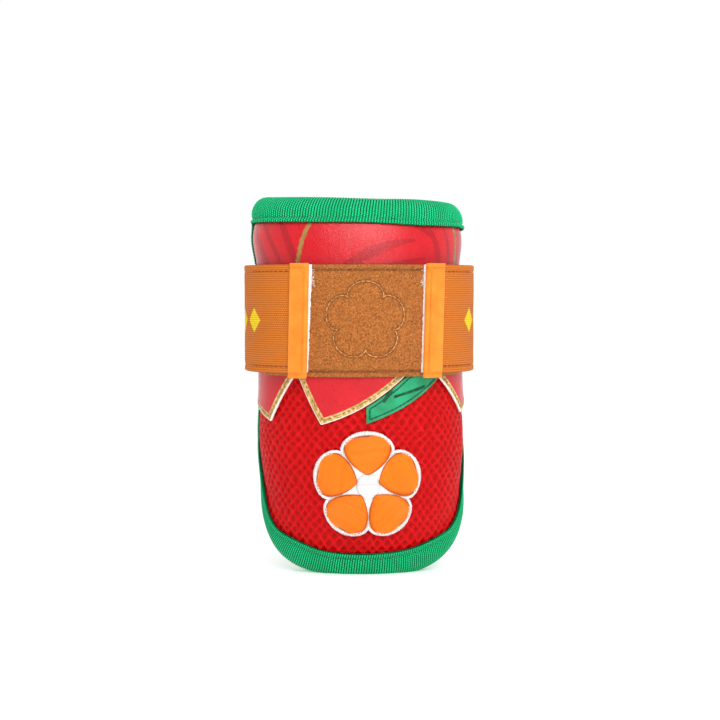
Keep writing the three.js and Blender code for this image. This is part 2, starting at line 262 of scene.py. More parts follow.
def strap_place(flat):
    """Bends flat places onto the strap's loop."""
    s, z, t = np.asarray(flat, float).T
    around = np.where(s > STRAP_HALF_LOOP, s - 2 * STRAP_HALF_LOOP, s)
    x, y, heading = arc_chain(around, (*STRAP_RADII, STRAP_BACK_RADIUS), STRAP_TURNS)
    return np.stack([x + t * np.sin(heading), STRAP_FRONT_Y + y - t * np.cos(heading), z], -1)


def strap_slanted(slant):
    """The strap's bend for a piece that leans sideways with height."""
    def place(flat):
        moved = np.array(flat, float)
        moved[:, 0] += slant * (moved[:, 1] - STRAP_MIDDLE)
        return strap_place(moved)
    return place


# Flat lines

CORNER_STEPS = 24
SOFTEN_REACH = 30
CHUNK = 2000
CLEAR_SHARE = 0.97


def along_line(line):
    """How far along a line each of its points lies."""
    return np.concatenate([[0], np.cumsum(np.linalg.norm(np.diff(line, axis=0), axis=1))])


def at_length(line, along, at):
    """Places at given lengths along a line."""
    return np.stack([np.interp(at, along, column) for column in line.T], -1)


def spaced(line, step, closed=False):
    """A line's points again, about a step apart."""
    line = np.asarray(line, float)
    if closed:
        line = np.vstack([line, line[:1]])
    along = along_line(line)
    points = at_length(line, along, np.linspace(0, along[-1], max(2, round(along[-1] / step) + 1)))
    return points[:-1] if closed else points


def paired(values, other):
    """Flat places that share their second coordinate."""
    return np.column_stack([values, np.full(len(values), other)])


def lifted(paths, t):
    """Flat paths with their heights, which are given for each step or for each point."""
    return np.concatenate([paths, np.broadcast_to(t, paths.shape[:2])[..., None]], 2)


def bezier(corners, steps=40):
    """A curve drawn by its ends and the bends between them."""
    share = np.linspace(0, 1, steps + 1)[:, None]
    points = [np.array(corner, float) for corner in corners]
    while len(points) > 1:
        points = [(1 - share) * a + share * b for a, b in zip(points, points[1:])]
    return points[0]


def curves(start, rows, steps=24):
    """Curves of one bend each that follow each other, as one line of points."""
    points = [np.array(start, float)]
    for bend_s, bend_z, end_s, end_z in rows:
        points.extend(bezier((points[-1], (bend_s, bend_z), (end_s, end_z)), steps)[1:])
    return np.array(points)


def shell_outline():
    """The shell's outer edge from the middle of the foot, right side first, with its outward directions."""
    turn = np.linspace(0, math.pi / 2, CORNER_STEPS)[:, None]
    corner = np.hstack([SIDE_HALF - CORNER + CORNER * np.cos(turn), HEIGHT - CORNER + CORNER * np.sin(turn)])
    cup = bezier(((0, -FOOT_PRESS), *CUP_BENDS, CUP))
    right = np.vstack([cup, corner, [(0, HEIGHT)]])
    left = right[1:-1][::-1] * (-1, 1)
    line = spaced(np.vstack([right, left]), OUTLINE_STEP, closed=True)
    reach = np.arange(-SOFTEN_REACH, SOFTEN_REACH + 1)
    weights = np.exp(-0.5 * (reach * OUTLINE_STEP / OUTLINE_SOFTEN) ** 2)
    line = sum(np.roll(line, -k, 0) * w for k, w in zip(reach, weights)) / weights.sum()
    line[:, 1] -= TOP_FALL_DROP * smooth_step(line[:, 1], TOP_FALL_FROM, HEIGHT) * line[:, 0] / SIDE_HALF
    line[:, 0] -= CUP_SHIFT * (1 - smooth_step(line[:, 1], CUP_SHIFT_FROM, CUP_SHIFT_UNTIL))
    along = np.roll(line, -1, 0) - np.roll(line, 1, 0)
    return line, unit(np.stack([along[:, 1], -along[:, 0]], -1))


OUTLINE, OUTWARD = shell_outline()


def inset(distance):
    return OUTLINE - distance * OUTWARD


def leg_shift(deep, z):
    """How much further in a place on the tape's legs lies at the foot and at the top."""
    more = FOOT_MORE * (1 - smooth_step(z, 0, FOOT_UNTIL)) + TOP_MORE * smooth_step(z, TOP_MORE_FROM, HEIGHT)
    return more * min((deep - ROLL_RADIUS) / (TAPE_REACH - LEG_END - ROLL_RADIUS), 1.0)


def side_at(z, distance):
    """Where the right side of an inset outline crosses a height."""
    line = inset(distance)
    right = line[(line[:, 0] > SIDE_HALF / 2) & (line[:, 1] < HEIGHT - CORNER)]
    order = np.argsort(right[:, 1])
    return float(np.interp(z, right[order, 1], right[order, 0]))


def distance_to(points, line, closed=False):
    """How far flat points are from a line."""
    ends = np.vstack([line[1:], line[:1]]) if closed else line[1:]
    starts = line if closed else line[:-1]
    run = ends - starts
    length = np.maximum((run ** 2).sum(1), 1e-12)
    best = np.empty(len(points))
    for first in range(0, len(points), CHUNK):
        part = points[first:first + CHUNK, None]
        share = np.clip(((part - starts) * run).sum(2) / length, 0, 1)
        best[first:first + CHUNK] = np.linalg.norm(part - starts - share[..., None] * run, axis=2).min(1)
    return best


def inside(points, outline):
    """Which flat points a closed outline holds."""
    held = np.zeros(len(points), bool)
    s, z = points.T
    for (s0, z0), (s1, z1) in zip(outline, np.roll(outline, -1, 0)):
        crosses = (z0 > z) != (z1 > z)
        if z0 != z1:
            held ^= crosses & (s < s0 + (z - z0) * (s1 - s0) / (z1 - z0))
    return held


def offset_line(line, distance, closed=False):
    """Runs of points at a distance to the left of a line, where no other part of it is nearer."""
    along = np.roll(line, -1, 0) - np.roll(line, 1, 0) if closed else np.gradient(line, axis=0)
    along = unit(along)
    moved = line + distance * np.stack([-along[:, 1], along[:, 0]], -1)
    clear = distance_to(moved, line, closed) > CLEAR_SHARE * distance
    breaks = np.flatnonzero(np.diff(clear.astype(int))) + 1
    runs = np.split(np.arange(len(line)), breaks)
    return [moved[run] for run in runs if clear[run[0]] and len(run) > 3]


def ripple(places, wavelengths, seed):
    """An even wobble from minus one to one along a line or over a sheet."""
    waves = np.random.default_rng(seed)
    places = np.asarray(places, float)
    if places.ndim == 1:
        places = places[:, None]
    total = np.zeros(len(places))
    for wavelength in wavelengths:
        heading = waves.normal(size=places.shape[1])
        heading /= np.linalg.norm(heading)
        total += np.sin(2 * np.pi * (places @ heading) / wavelength + waves.uniform(0, 6.3))
    return total / len(wavelengths)


# Meshes

HIDDEN_SPACING = 2.5
ROW_SHARE = 0.866
STITCH_STEPS = 7

# Sewn threads: pitch, length, radius and height of each stitch
SEWING = {
    "tape_thread": (2.9, 2.3, 0.17, 0.16),
    "gold_thread": (2.1, 1.5, 0.2, 0.16),
    "leaf_thread": (1.9, 1.5, 0.16, 0.12),
    "petal_line_thread": (1.5, 1.7, 0.22, 0.2),
    "strap_thread": (2.2, 1.6, 0.22, 0.16),
    "blossom_thread": (2.3, 2.2, 0.3, 0.3),
    "patch_thread": (2.8, 2.1, 0.24, 0.16),
    "tab_thread": (2.2, 1.8, 0.14, 0.1),
}


def make(name, flat, faces, place, material, slot, weave=None, **values):
    """A piece of the guard from flat points: bent, given its material and carried by the body."""
    mesh = bpy.data.meshes.new(name)
    mesh.from_pydata((place(flat) * MM).tolist(), [], faces)
    mesh.polygons.foreach_set("use_smooth", np.ones(len(mesh.polygons), bool))
    pattern = np.asarray(flat if weave is None else weave, np.float32)
    mesh.attributes.new("flat", "FLOAT_VECTOR", "POINT").data.foreach_set("vector", pattern.ravel())
    for key, numbers in values.items():
        attribute = mesh.attributes.new(key, "FLOAT", "POINT")
        attribute.data.foreach_set("value", np.asarray(numbers, np.float32))
    mesh.materials.append(material)
    mesh.update()
    piece = bpy.data.objects.new(name, mesh)
    bpy.context.scene.collection.objects.link(piece)
    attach(piece, "root")
    return piece


def fill(outline, spacing, edge_spacing, edge_band):
    """Even points inside an outline, denser near its edge, joined into triangles."""
    low, high = outline.min(0), outline.max(0)
    parts = [outline]
    zones = ((spacing, edge_band, np.inf), (edge_spacing, 0.6 * edge_spacing, edge_band))
    for step, nearest, furthest in zones:
        rows = np.arange(low[1], high[1], step * ROW_SHARE)
        columns = np.arange(low[0], high[0], step)
        s, z = np.meshgrid(columns, rows)
        s[1::2] += step / 2
        grid = np.stack([s.ravel(), z.ravel()], -1)
        if furthest < np.inf:
            grid = grid[distance_to(grid, outline[::4], True) < furthest + 2]
        grid = grid[inside(grid, outline)]
        away = distance_to(grid, outline, True)
        parts.append(grid[(away > nearest) & (away < furthest)])
    points = np.vstack(parts)
    result = delaunay_2d_cdt([Vector(p) for p in points], [], [list(range(len(outline)))], 1, 1e-7)
    source = [origin[0] for origin in result[3]]
    triangles = np.array([[source[i] for i in face] for face in result[2]])
    a, b, c = (points[triangles[:, i]] for i in range(3))
    area = (b[:, 0] - a[:, 0]) * (c[:, 1] - a[:, 1]) - (b[:, 1] - a[:, 1]) * (c[:, 0] - a[:, 0])
    triangles[area < 0] = triangles[area < 0][:, ::-1]
    return points, triangles


def round_over(edge, radius):
    """How far a rounded edge falls below the face, by distance from the outline."""
    share = np.clip(1 - edge / radius, 0, 1)
    return radius * (1 - np.sqrt(1 - share ** 2))


def plate(name, outline, low, high, place, material, slot, spacing, edge_spacing=0.3, edge_band=1.2,
          bevel=0.35, back_bevel=0.1, relief=None, back_relief=None, measures=None):
    """A sheet cut to a flat outline: both faces, the rim between them and the relief on them."""
    points, triangles = fill(outline, spacing, edge_spacing, edge_band)
    edge = distance_to(points, outline, True)
    front = high - round_over(edge, bevel)
    if relief:
        front = front + relief(points, edge)
    under, under_triangles = points, triangles
    if back_relief is None:
        under, under_triangles = fill(outline, HIDDEN_SPACING, HIDDEN_SPACING, 0.0)
    under_edge = distance_to(under, outline, True)
    back = low + round_over(under_edge, back_bevel)
    if back_relief:
        back = back + back_relief(under, under_edge)
    count = len(points)
    ring = np.arange(len(outline))
    after = np.roll(ring, -1)
    rim = np.stack([ring + count, after + count, after, ring], -1)
    faces = triangles.tolist() + (under_triangles[:, ::-1] + count).tolist() + rim.tolist()
    flat = np.vstack([np.column_stack([points, front]), np.column_stack([under, back])])
    values = {}
    for key, measure in (measures or {}).items():
        values[key] = np.concatenate([measure(points, edge), measure(under, under_edge)])
    return make(name, flat, faces, place, material, slot, **values)


def sheet_faces(columns, rows):
    """Faces of a closed sheet whose outer points, then its inner ones, stand in columns of rows."""
    index = np.arange(2 * columns * rows).reshape(2, columns, rows)
    ring = np.concatenate([index[0], index[1][:, ::-1]], 1)
    a, b = ring[:-1], ring[1:]
    sides = np.stack([a, b, np.roll(b, -1, 1), np.roll(a, -1, 1)], -1).reshape(-1, 4)
    caps = []
    for column, turn in ((0, 1), (-1, -1)):
        outer, inner = index[:, column]
        caps.append(np.stack([outer[:-1], outer[1:], inner[1:], inner[:-1]], -1)[:, ::turn])
    return np.concatenate([sides, *caps])


def band(name, s, z, low, high, place, material, slot, front_relief=None, back_relief=None, **values):
    """A flat strip along s with a front and a back face."""
    points = np.stack(np.meshgrid(s, z, indexing="ij"), -1).reshape(-1, 2)
    edge = np.minimum(points[:, 1] - z[0], z[-1] - points[:, 1])
    soft = round_over(edge, (high - low) / 2)
    front = high - soft + (front_relief(points, edge) if front_relief else 0)
    back = low + soft + (back_relief(points, edge) if back_relief else 0)
    flat = np.vstack([np.column_stack([points, front]), np.column_stack([points, back])])
    return make(name, flat, sheet_faces(len(s), len(z)).tolist(), place, material, slot, **values)


def tubes(paths, radius, sides=6, facing=1.0):
    """Closed round threads along many flat paths at once, each with a tone of its own."""
    count, steps = paths.shape[:2]
    along = unit(np.gradient(paths, axis=1))
    chord = (paths[:, -1] - paths[:, 0])[:, None]
    side = unit(np.cross(chord, (0, 0, facing)))
    up = np.cross(side, along)
    angle = 2 * np.pi * np.arange(sides) / sides
    radius = np.broadcast_to(radius, (count, steps))[..., None, None]
    around = np.cos(angle)[:, None] * side[:, :, None] + np.sin(angle)[:, None] * up[:, :, None]
    points = paths[:, :, None] + radius * around
    index = np.arange(count * steps * sides).reshape(count, steps, sides)
    a, b = index[:, :-1], index[:, 1:]
    walls = np.stack([a, b, np.roll(b, -1, 2), np.roll(a, -1, 2)], -1).reshape(-1, 4)
    faces = walls.tolist() + index[:, 0].tolist() + index[:, -1, ::-1].tolist()
    tone = np.repeat(rng.uniform(0, 1, count), steps * sides)
    return points.reshape(-1, 3), faces, tone


def stitches(line, kind, t, facing=1.0):
    """Threads along a flat line at a height: each comes out of the cloth, lies on it and goes back in."""
    pitch, length, radius, height = SEWING[kind]
    along = along_line(line)
    count = max(1, int(along[-1] // pitch))
    centres = (np.arange(count) + 0.5) * along[-1] / count
    share = np.linspace(-0.5, 0.5, STITCH_STEPS)
    paths = at_length(line, along, centres[:, None] + share * length)
    end = 2 * np.abs(share)
    rise = height * (1 - end ** 4) - radius * 1.5 * end ** 6
    return tubes(lifted(paths, t + facing * rise), radius * (1 - 0.35 * end ** 4), facing=facing)


def threads(name, parts, place, material, slot):
    """Several sets of threads as one piece."""
    faces = []
    first = 0
    for points, part_faces, _ in parts:
        faces += [[i + first for i in face] for face in part_faces]
        first += len(points)
    flat, tone = np.vstack([part[0] for part in parts]), np.concatenate([part[2] for part in parts])
    return make(name, flat, faces, place, material, slot, tone=tone)


# Materials

# Threads: dark tone, light tone, roughness
THREADS = {
    "tape_thread": ((0.006, 0.12, 0.035), (0.10, 0.25, 0.09), 0.5),
    "gold_thread": ((0.16, 0.075, 0.012), (0.34, 0.18, 0.04), 0.5),
    "leaf_thread": ((0.004, 0.05, 0.02), (0.01, 0.16, 0.07), 0.5),
    "white_thread": ((0.66, 0.65, 0.64), (0.86, 0.85, 0.84), 0.4),
    "orange_thread": ((0.92, 0.185, 0.002), (0.98, 0.225, 0.006), 0.38),
    "petal_line_thread": ((0.40, 0.06, 0.001), (0.62, 0.11, 0.003), 0.5),
    "strap_thread": ((0.20, 0.032, 0.004), (0.36, 0.075, 0.01), 0.5),
    "blossom_thread": ((0.42, 0.17, 0.045), (0.68, 0.33, 0.11), 0.5),
    "patch_thread": ((0.16, 0.045, 0.008), (0.32, 0.11, 0.025), 0.5),
    "hook_fibre": ((0.80, 0.78, 0.74), (0.94, 0.93, 0.91), 0.5),
    "tab_thread": ((0.72, 0.17, 0.01), (0.90, 0.28, 0.02), 0.5),
}


class Graph:
    """A material's nodes, with short ways to add the ones used here."""

    def __init__(self, name, roughness, specular=0.4, sheen=0.0):
        self.material = bpy.data.materials.new(name)
        self.material.use_nodes = True
        self.tree = self.material.node_tree
        self.shader = self.tree.nodes["Principled BSDF"]
        self.shader.inputs["Roughness"].default_value = roughness
        self.shader.inputs["Specular IOR Level"].default_value = specular
        self.shader.inputs["Sheen Weight"].default_value = sheen
        self.shader.inputs["Sheen Roughness"].default_value = 0.5

    def node(self, kind, settings=None, **inputs):
        made = self.tree.nodes.new(kind)
        for key, value in (settings or {}).items():
            setattr(made, key, value)
        for key, value in inputs.items():
            self.feed(made.inputs[key], value)
        return made

    def feed(self, socket, value):
        if isinstance(value, bpy.types.NodeSocket):
            self.tree.links.new(value, socket)
        else:
            socket.default_value = value

    def math(self, operation, *values):
        made = self.node("ShaderNodeMath", {"operation": operation})
        for socket, value in zip(made.inputs, values):
            self.feed(socket, value)
        return made.outputs[0]

    def flat(self):
        """The flat place of the point, in millimetres, as its s, z and t."""
        made = self.node("ShaderNodeAttribute", {"attribute_name": "flat"})
        return self.node("ShaderNodeSeparateXYZ", Vector=made.outputs["Vector"]).outputs

    def value(self, name):
        return self.node("ShaderNodeAttribute", {"attribute_name": name}).outputs["Fac"]

    def pattern(self, kind, size_mm, **inputs):
        """A texture over the piece itself, with marks of about a size."""
        place = self.node("ShaderNodeTexCoord").outputs["Object"]
        return self.node(kind, Vector=place, Scale=1 / (size_mm * MM), **inputs).outputs

    def noise(self, size_mm):
        return self.pattern("ShaderNodeTexNoise", size_mm, Detail=3.0, Roughness=0.55)["Fac"]

    def cells(self, size_mm):
        return self.pattern("ShaderNodeTexVoronoi", size_mm)["Distance"]

    def grain(self, size_mm):
        """Fine grain of leather."""
        return self.math("ADD", self.cells(size_mm), self.noise(0.3))

    def wave(self, value, pitch):
        return self.math("SINE", self.math("MULTIPLY", value, 2 * math.pi / pitch))

    def between(self, value, low, high, most=1.0):
        """How far a value has gone from low to high, as a soft share of most."""
        made = self.node("ShaderNodeMapRange", {"interpolation_type": "SMOOTHSTEP"}, Value=value)
        for key, number in {"From Min": low, "From Max": high, "To Max": most}.items():
            made.inputs[key].default_value = number
        return made.outputs["Result"]

    def mix(self, share, a, b):
        made = self.node("ShaderNodeMix", {"data_type": "RGBA"})
        self.feed(made.inputs[0], share)
        for socket, value in ((made.inputs[6], a), (made.inputs[7], b)):
            self.feed(socket, (*value, 1.0) if isinstance(value, tuple) else value)
        return made.outputs[2]

    def blend(self, value, low, high, a, b, most=1.0):
        """One tone that goes over into another as a value rises."""
        return self.mix(self.between(value, low, high, most), a, b)

    def mottle(self, size_mm, a, b, low=0.3, high=0.7, most=1.0):
        """One tone with soft marks of another."""
        return self.blend(self.noise(size_mm), low, high, a, b, most)

    def finish(self, colour, bumps=(), roughness=None):
        """Joins the colour and the bumps, given as height and depth in millimetres, to the shader."""
        self.feed(self.shader.inputs["Base Color"], colour)
        if roughness is not None:
            self.feed(self.shader.inputs["Roughness"], roughness)
        normal = None
        for height, depth in bumps:
            made = self.node("ShaderNodeBump", Height=height, Distance=depth * MM)
            if normal is not None:
                self.feed(made.inputs["Normal"], normal)
            normal = made.outputs["Normal"]
        if normal is not None:
            self.feed(self.shader.inputs["Normal"], normal)
        return self.material


def tape_look():
    """Ribbed woven tape: beads along each rib, with painted shade between ribs and painted bead highlights.
    """
    graph = Graph("green_tape", 0.6, specular=0.12)
    along, across, _ = graph.flat()
    wave = graph.wave(along, 2 * RIB)
    bead = graph.math("MULTIPLY", wave, graph.wave(across, BEAD))
    rib = graph.math("ABSOLUTE", wave)
    # Painted shade: darker in the valleys between the ribs.
    shade = graph.blend(rib, 0.25, 0.95, (0.0, 0.035, 0.008), (0.004, 0.60, 0.215))
    # Painted highlight: lighter on the raised beads.
    lit = graph.blend(bead, 0.1, 1.0, shade, (0.035, 0.78, 0.36), 0.9)
    # Random darker marks laid over the painted shade and highlights.
    worn_and_shaded = graph.mottle(14.0, lit, (0.0, 0.29, 0.085), 0.35, 0.75, 0.35)
    return graph.finish(worn_and_shaded, [(bead, 0.22), (graph.noise(0.25), 0.06)])


def embossed_look():
    """Leather with painted shade in the bowls of the embossing and a painted highlight on its ridges."""
    graph = Graph("embossed_leather", 0.4, specular=0.09)
    tone = graph.mottle(22.0, (0.49, 0.001, 0.002), (0.57, 0.0015, 0.003))
    # Painted shade: darker in the bowls of the embossing.
    tone = graph.blend(graph.value("pit"), 0.1, 1.0, tone, (0.37, 0.0006, 0.001))
    # Painted highlight: brighter on the ridges.
    colour = graph.blend(graph.value("ridge"), 0.1, 0.9, tone, (0.68, 0.008, 0.012))
    shine = graph.math("MULTIPLY_ADD", graph.noise(1.2), 0.3, 0.18)
    return graph.finish(colour, [(graph.grain(0.45), 0.07)], shine)


def upper_look():
    """Smooth leather with soft darker strokes, gold lines, a gold band and a pale cut edge."""
    graph = Graph("red_leather", 0.24, specular=0.36)
    edge = graph.value("petal")
    tone = graph.mottle(18.0, (0.54, 0.005, 0.012), (0.63, 0.009, 0.017))
    tone = graph.mottle(0.8, tone, (0.44, 0.005, 0.012), 0.45, 0.75)
    tone = graph.mix(graph.math("MULTIPLY", graph.value("stroke"), 0.55), tone, (0.28, 0.003, 0.008))
    gold = graph.mottle(1.5, (0.40, 0.25, 0.06), (0.80, 0.56, 0.22), 0.4, 0.66)
    line_gold = graph.mottle(2.0, (0.24, 0.13, 0.03), (0.36, 0.21, 0.055))
    tone = graph.blend(graph.value("gold"), 0.35, 0.65, tone, line_gold)
    tone = graph.blend(edge, GOLD_END + 0.15, GOLD_END - 0.15, tone, gold)
    colour = graph.blend(edge, CUT_EDGE + 0.12, CUT_EDGE - 0.12, tone, (0.88, 0.85, 0.78))
    shine = graph.math("MULTIPLY_ADD", graph.noise(3.0), 0.12, 0.16)
    return graph.finish(colour, [(graph.grain(0.55), 0.075)], shine)


def leaf_look():
    graph = Graph("green_leather", 0.42, specular=0.4)
    tone = graph.mottle(9.0, (0.003, 0.24, 0.09), (0.006, 0.36, 0.155))
    # Painted shade: darker in the sewn groove and the vein grooves.
    colour = graph.mix(graph.value("seam"), tone, (0.002, 0.12, 0.05))
    return graph.finish(colour, [(graph.grain(0.5), 0.05)])


def thread_look(kind, ending=""):
    """Twisted thread: each one has a tone of its own."""
    dark, light, roughness = THREADS[kind]
    graph = Graph(kind + ending, roughness, specular=0.25, sheen=0.04)
    return graph.finish(graph.mix(graph.value("tone"), dark, light), [(graph.noise(0.2), 0.05)])


def felt_look():
    graph = Graph("badge_felt", 0.9, specular=0.1, sheen=0.2)
    colour = graph.mottle(1.2, (0.74, 0.72, 0.68), (0.90, 0.89, 0.86))
    return graph.finish(colour, [(graph.noise(0.35), 0.15)])


def elastic_look():
    """Ribbed elastic with crossing yarns, a woven row of plain lozenges and painted shade between the ribs.
    """
    graph = Graph("elastic", 0.75, specular=0.1, sheen=0.03)
    s, z, _ = graph.flat()
    wave = graph.wave(z, 2 * ELASTIC_RIB)
    cross = graph.math("MULTIPLY", wave, graph.wave(s, ELASTIC_YARN))
    rib = graph.between(graph.math("ABSOLUTE", wave), 0.1, 0.8)
    # Painted shade: darker in the grooves between the ribs.
    tone = graph.mix(rib, (0.38, 0.084, 0.008), (0.60, 0.165, 0.020))
    tone = graph.mottle(6.0, tone, (0.51, 0.135, 0.015), 0.35, 0.7, 0.5)
    tone = graph.blend(cross, 0.3, 0.9, tone, (0.67, 0.225, 0.03))
    from_back = graph.math("ABSOLUTE", graph.math("SUBTRACT", s, STRAP_HALF_LOOP))
    from_front = graph.math("SUBTRACT", STRAP_HALF_LOOP, from_back)
    from_first = graph.math("SUBTRACT", from_front, LOZENGE["first"])
    across = graph.math("PINGPONG", from_first, LOZENGE["step"] / 2)
    up = graph.math("ABSOLUTE", graph.math("SUBTRACT", z, STRAP_MIDDLE))
    across_part = graph.math("DIVIDE", across, LOZENGE["half"])
    part = graph.math("ADD", across_part, graph.math("DIVIDE", up, LOZENGE["tall"]))
    # The lozenges get the same painted shade in the grooves between the ribs.
    yellow = graph.mix(rib, (0.60, 0.42, 0.01), (0.84, 0.64, 0.02))
    beyond = graph.math("GREATER_THAN", from_front, LOZENGE["first"] - LOZENGE["step"] / 2)
    colour = graph.mix(graph.math("MULTIPLY", graph.between(part, 1.03, 0.97), beyond), tone, yellow)
    return graph.finish(colour, [(cross, 0.10), (graph.noise(0.3), 0.06)])


def pile_look():
    graph = Graph("loop_pile", 0.85, specular=0.1, sheen=0.15)
    tone = graph.mix(graph.value("tone"), (0.20, 0.055, 0.007), (0.92, 0.38, 0.09))
    colour = graph.mottle(5.0, tone, (0.50, 0.17, 0.04), 0.35, 0.7, 0.4)
    return graph.finish(colour, [(graph.noise(0.3), 0.1)])


def patch_look():
    graph = Graph("loop_backing", 0.9, specular=0.1, sheen=0.3)
    tone = graph.mottle(0.7, (0.32, 0.10, 0.016), (0.58, 0.20, 0.042), 0.35, 0.65)
    # Painted shade: darker in the sewn grooves.
    colour = graph.mix(graph.value("seam"), tone, (0.20, 0.05, 0.01))
    return graph.finish(colour, [(graph.noise(0.4), 0.3)])


def cloth_look():
    """Close woven satin cloth, with painted shade in its sewn grooves."""
    graph = Graph("tab_cloth", 0.6, specular=0.25, sheen=0.2)
    s, z, _ = graph.flat()
    weave = graph.math("MULTIPLY", graph.wave(s, 0.5), graph.wave(z, 0.5))
    tone = graph.mottle(7.0, (0.84, 0.215, 0.007), (0.91, 0.27, 0.016))
    # Painted shade: darker along the sewn grooves.
    colour = graph.mix(graph.value("seam"), tone, (0.62, 0.15, 0.008))
    return graph.finish(colour, [(weave, 0.04), (graph.noise(0.35), 0.04)])


def hook_look():
    graph = Graph("hook_tape", 0.7, specular=0.3)
    colour = graph.mottle(0.6, (0.86, 0.84, 0.80), (0.95, 0.94, 0.92))
    return graph.finish(colour, [(graph.cells(0.7), 0.2)])


def lining_look():
    """Knitted lining of the padding."""
    graph = Graph("padding", 0.85, specular=0.2, sheen=0.3)
    s, z, _ = graph.flat()
    knit = graph.math("MULTIPLY", graph.wave(s, 1.6), graph.wave(z, 2.0))
    tone = graph.blend(knit, -0.6, 0.6, (0.016, 0.015, 0.016), (0.055, 0.052, 0.053))
    colour = graph.mottle(25.0, tone, (0.04, 0.037, 0.037), most=0.4)
    return graph.finish(colour, [(knit, 0.25), (graph.noise(0.4), 0.08)])


# Padded wall

PAD_ROUND = PAD_THICK / 2 - 0.1
CROWN = 1.0
CROWN_WOBBLE = 0.35
CROWN_FROM = 6.5
CROWN_WIDE = 9.0


def pad_body():
    """The foam wall with its knitted lining, crowned on the inside and pressed flat at its foot."""
    outline = spaced(inset(ROLL_RADIUS - PAD_ROUND), 1.2, closed=True)

    def crown(points, edge):
        full = 1 - np.exp(-np.maximum(edge - CROWN_FROM, 0) / CROWN_WIDE)
        return -full * (CROWN + CROWN_WOBBLE * ripple(points, (31, 19, 44), 3))

    piece = plate("pad_body_soft", outline, -PAD_THICK, 0.0, shell_above(TAPE + GAP), lining_look(),
                  "padding", 2.0, edge_spacing=0.9, edge_band=6.0, bevel=PAD_ROUND, back_bevel=PAD_ROUND,
                  back_relief=crown)
    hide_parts("pad_body")


# Binding

RIB_PITCH = 1.22
RIB_STEPS = 4
RIB_LEAN = 0.2
RIB_HIGH = 0.46
RIB_MEAN = 0.6
BEAD = 0.95
STITCH_BACK = 2.2
STITCH_SINK = 0.6
STITCH_LOWEST = 0.05
WANDER_OUT = 0.2
WANDER_IN = 0.35

# Form across the tape's face by distance from its tip: middle, half width, height
TAPE_BUMPS = [
    (STITCH_BACK, 0.6, -0.65),
    (4.6, 1.6, 0.3),
    (0.8, 0.6, 0.25),
    (0.0, 0.25, -0.3),
]

OUTLINE_LENGTH = np.linalg.norm(np.roll(OUTLINE, -1, 0) - OUTLINE, axis=1).sum()
RIBS = 2 * round(OUTLINE_LENGTH / RIB_PITCH / 2)
RIB = OUTLINE_LENGTH / RIBS


def around_outline(along, columns):
    """Values kept for each outline point, at distances along the outline."""
    closed = np.vstack([columns, columns[:1]])
    return at_length(closed, np.linspace(0, OUTLINE_LENGTH, len(closed)), along % OUTLINE_LENGTH)


def tape_section():
    """The folded tape's outer line and the line inside it, as distance in from the edge and height."""
    turn = np.linspace(-math.pi / 2, math.pi / 2, 17)
    leg = np.linspace(TAPE_REACH, ROLL_RADIUS, 8)[:-1]
    sections = []
    for radius, arc, legs in ((ROLL_RADIUS, turn, leg), (ROLL_RADIUS - TAPE, turn[::4], leg[::3])):
        bow = np.column_stack([ROLL_RADIUS - radius * np.cos(arc), ROLL_MIDDLE + radius * np.sin(arc)])
        low, high = paired(legs, ROLL_MIDDLE - radius), paired(legs, ROLL_MIDDLE + radius)
        sections.append(np.vstack([low, bow, high[::-1]]))
    return sections


def tape_lift(from_tip, rib, wander):
    """How far the tape's face stands out: drawn in at the stitches, full beside them, thin at its edge."""
    bumps = sum(height * hump(from_tip, middle, wide) for middle, wide, height in TAPE_BUMPS)
    return bumps + WANDER_OUT * wander + RIB_HIGH * (rib - RIB_MEAN) * (1 - 0.4 * hump(from_tip, 0, 0.5))


def edge_binding():
    """Ribbed tape folded round the whole edge, drawn in along its stitching and pressed flat on the floor."""
    count = RIBS * RIB_STEPS
    even = np.arange(count) * RIB / RIB_STEPS
    rib = np.abs(np.sin(np.pi * even / RIB)) ** 0.6
    outer, inner = tape_section()
    length = along_line(outer)
    rows, weave = [], []
    for row, (deep, t) in enumerate(np.vstack([outer, inner[::-1]])):
        outside = row < len(outer)
        across = length[row] if outside else 0.0
        along = even + RIB_LEAN * across
        line = around_outline(along, OUTLINE)
        outward = around_outline(along, OUTWARD)
        turn = 2 * np.pi * along / OUTLINE_LENGTH
        wander = ripple(np.column_stack([np.cos(turn), np.sin(turn)]) * 60, (23, 37, 61), 5)
        leg = deep >= ROLL_RADIUS
        face = np.sign(t - ROLL_MIDDLE)
        out_in, out_t = (0.0, face) if leg else np.array([ROLL_RADIUS - deep, t - ROLL_MIDDLE]) / ROLL_RADIUS
        lift = tape_lift(min(across, length[-1] - across), rib, wander) if outside else np.zeros(count)
        shift = leg_shift(deep, line[:, 1]) if leg else np.zeros(count)
        depth = deep - out_in * lift + (WANDER_IN * wander if leg else 0) + shift
        rows.append(np.column_stack([line - depth[:, None] * outward, t + out_t * lift]))
        weave.append(np.column_stack([even, across + face * shift, np.zeros(count)]))
    flat = np.vstack(rows)
    index = np.arange(len(flat)).reshape(-1, count)
    lowest = np.where(index.ravel() >= len(outer) * count, TAPE, 0.0)
    a, b = index, np.roll(index, -1, 0)
    faces = np.stack([a, np.roll(a, -1, 1), np.roll(b, -1, 1), b], -1).reshape(-1, 4).tolist()
    piece = make("edge_binding_tape", flat, faces, shell_above(lowest), tape_look(), "green_tape",
                 weave=np.vstack(weave))
    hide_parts("edge_binding")
    binding_stitches()


def binding_stitches():
    """One row of stitches outside and one inside, through both legs of the tape."""
    deep = TAPE_REACH - STITCH_BACK
    line = inset((deep + leg_shift(deep, OUTLINE[:, 1]))[:, None])
    closed = np.vstack([line, line[:1]])
    outside = stitches(closed, "tape_thread", ROLL_HIGH - STITCH_SINK)
    within = stitches(closed, "tape_thread", ROLL_LOW + STITCH_SINK, facing=-1.0)
    look = thread_look("tape_thread")
    threads("edge_binding_stitches", [outside, within], shell_above(STITCH_LOWEST), look, "green_tape")


# Leather panels

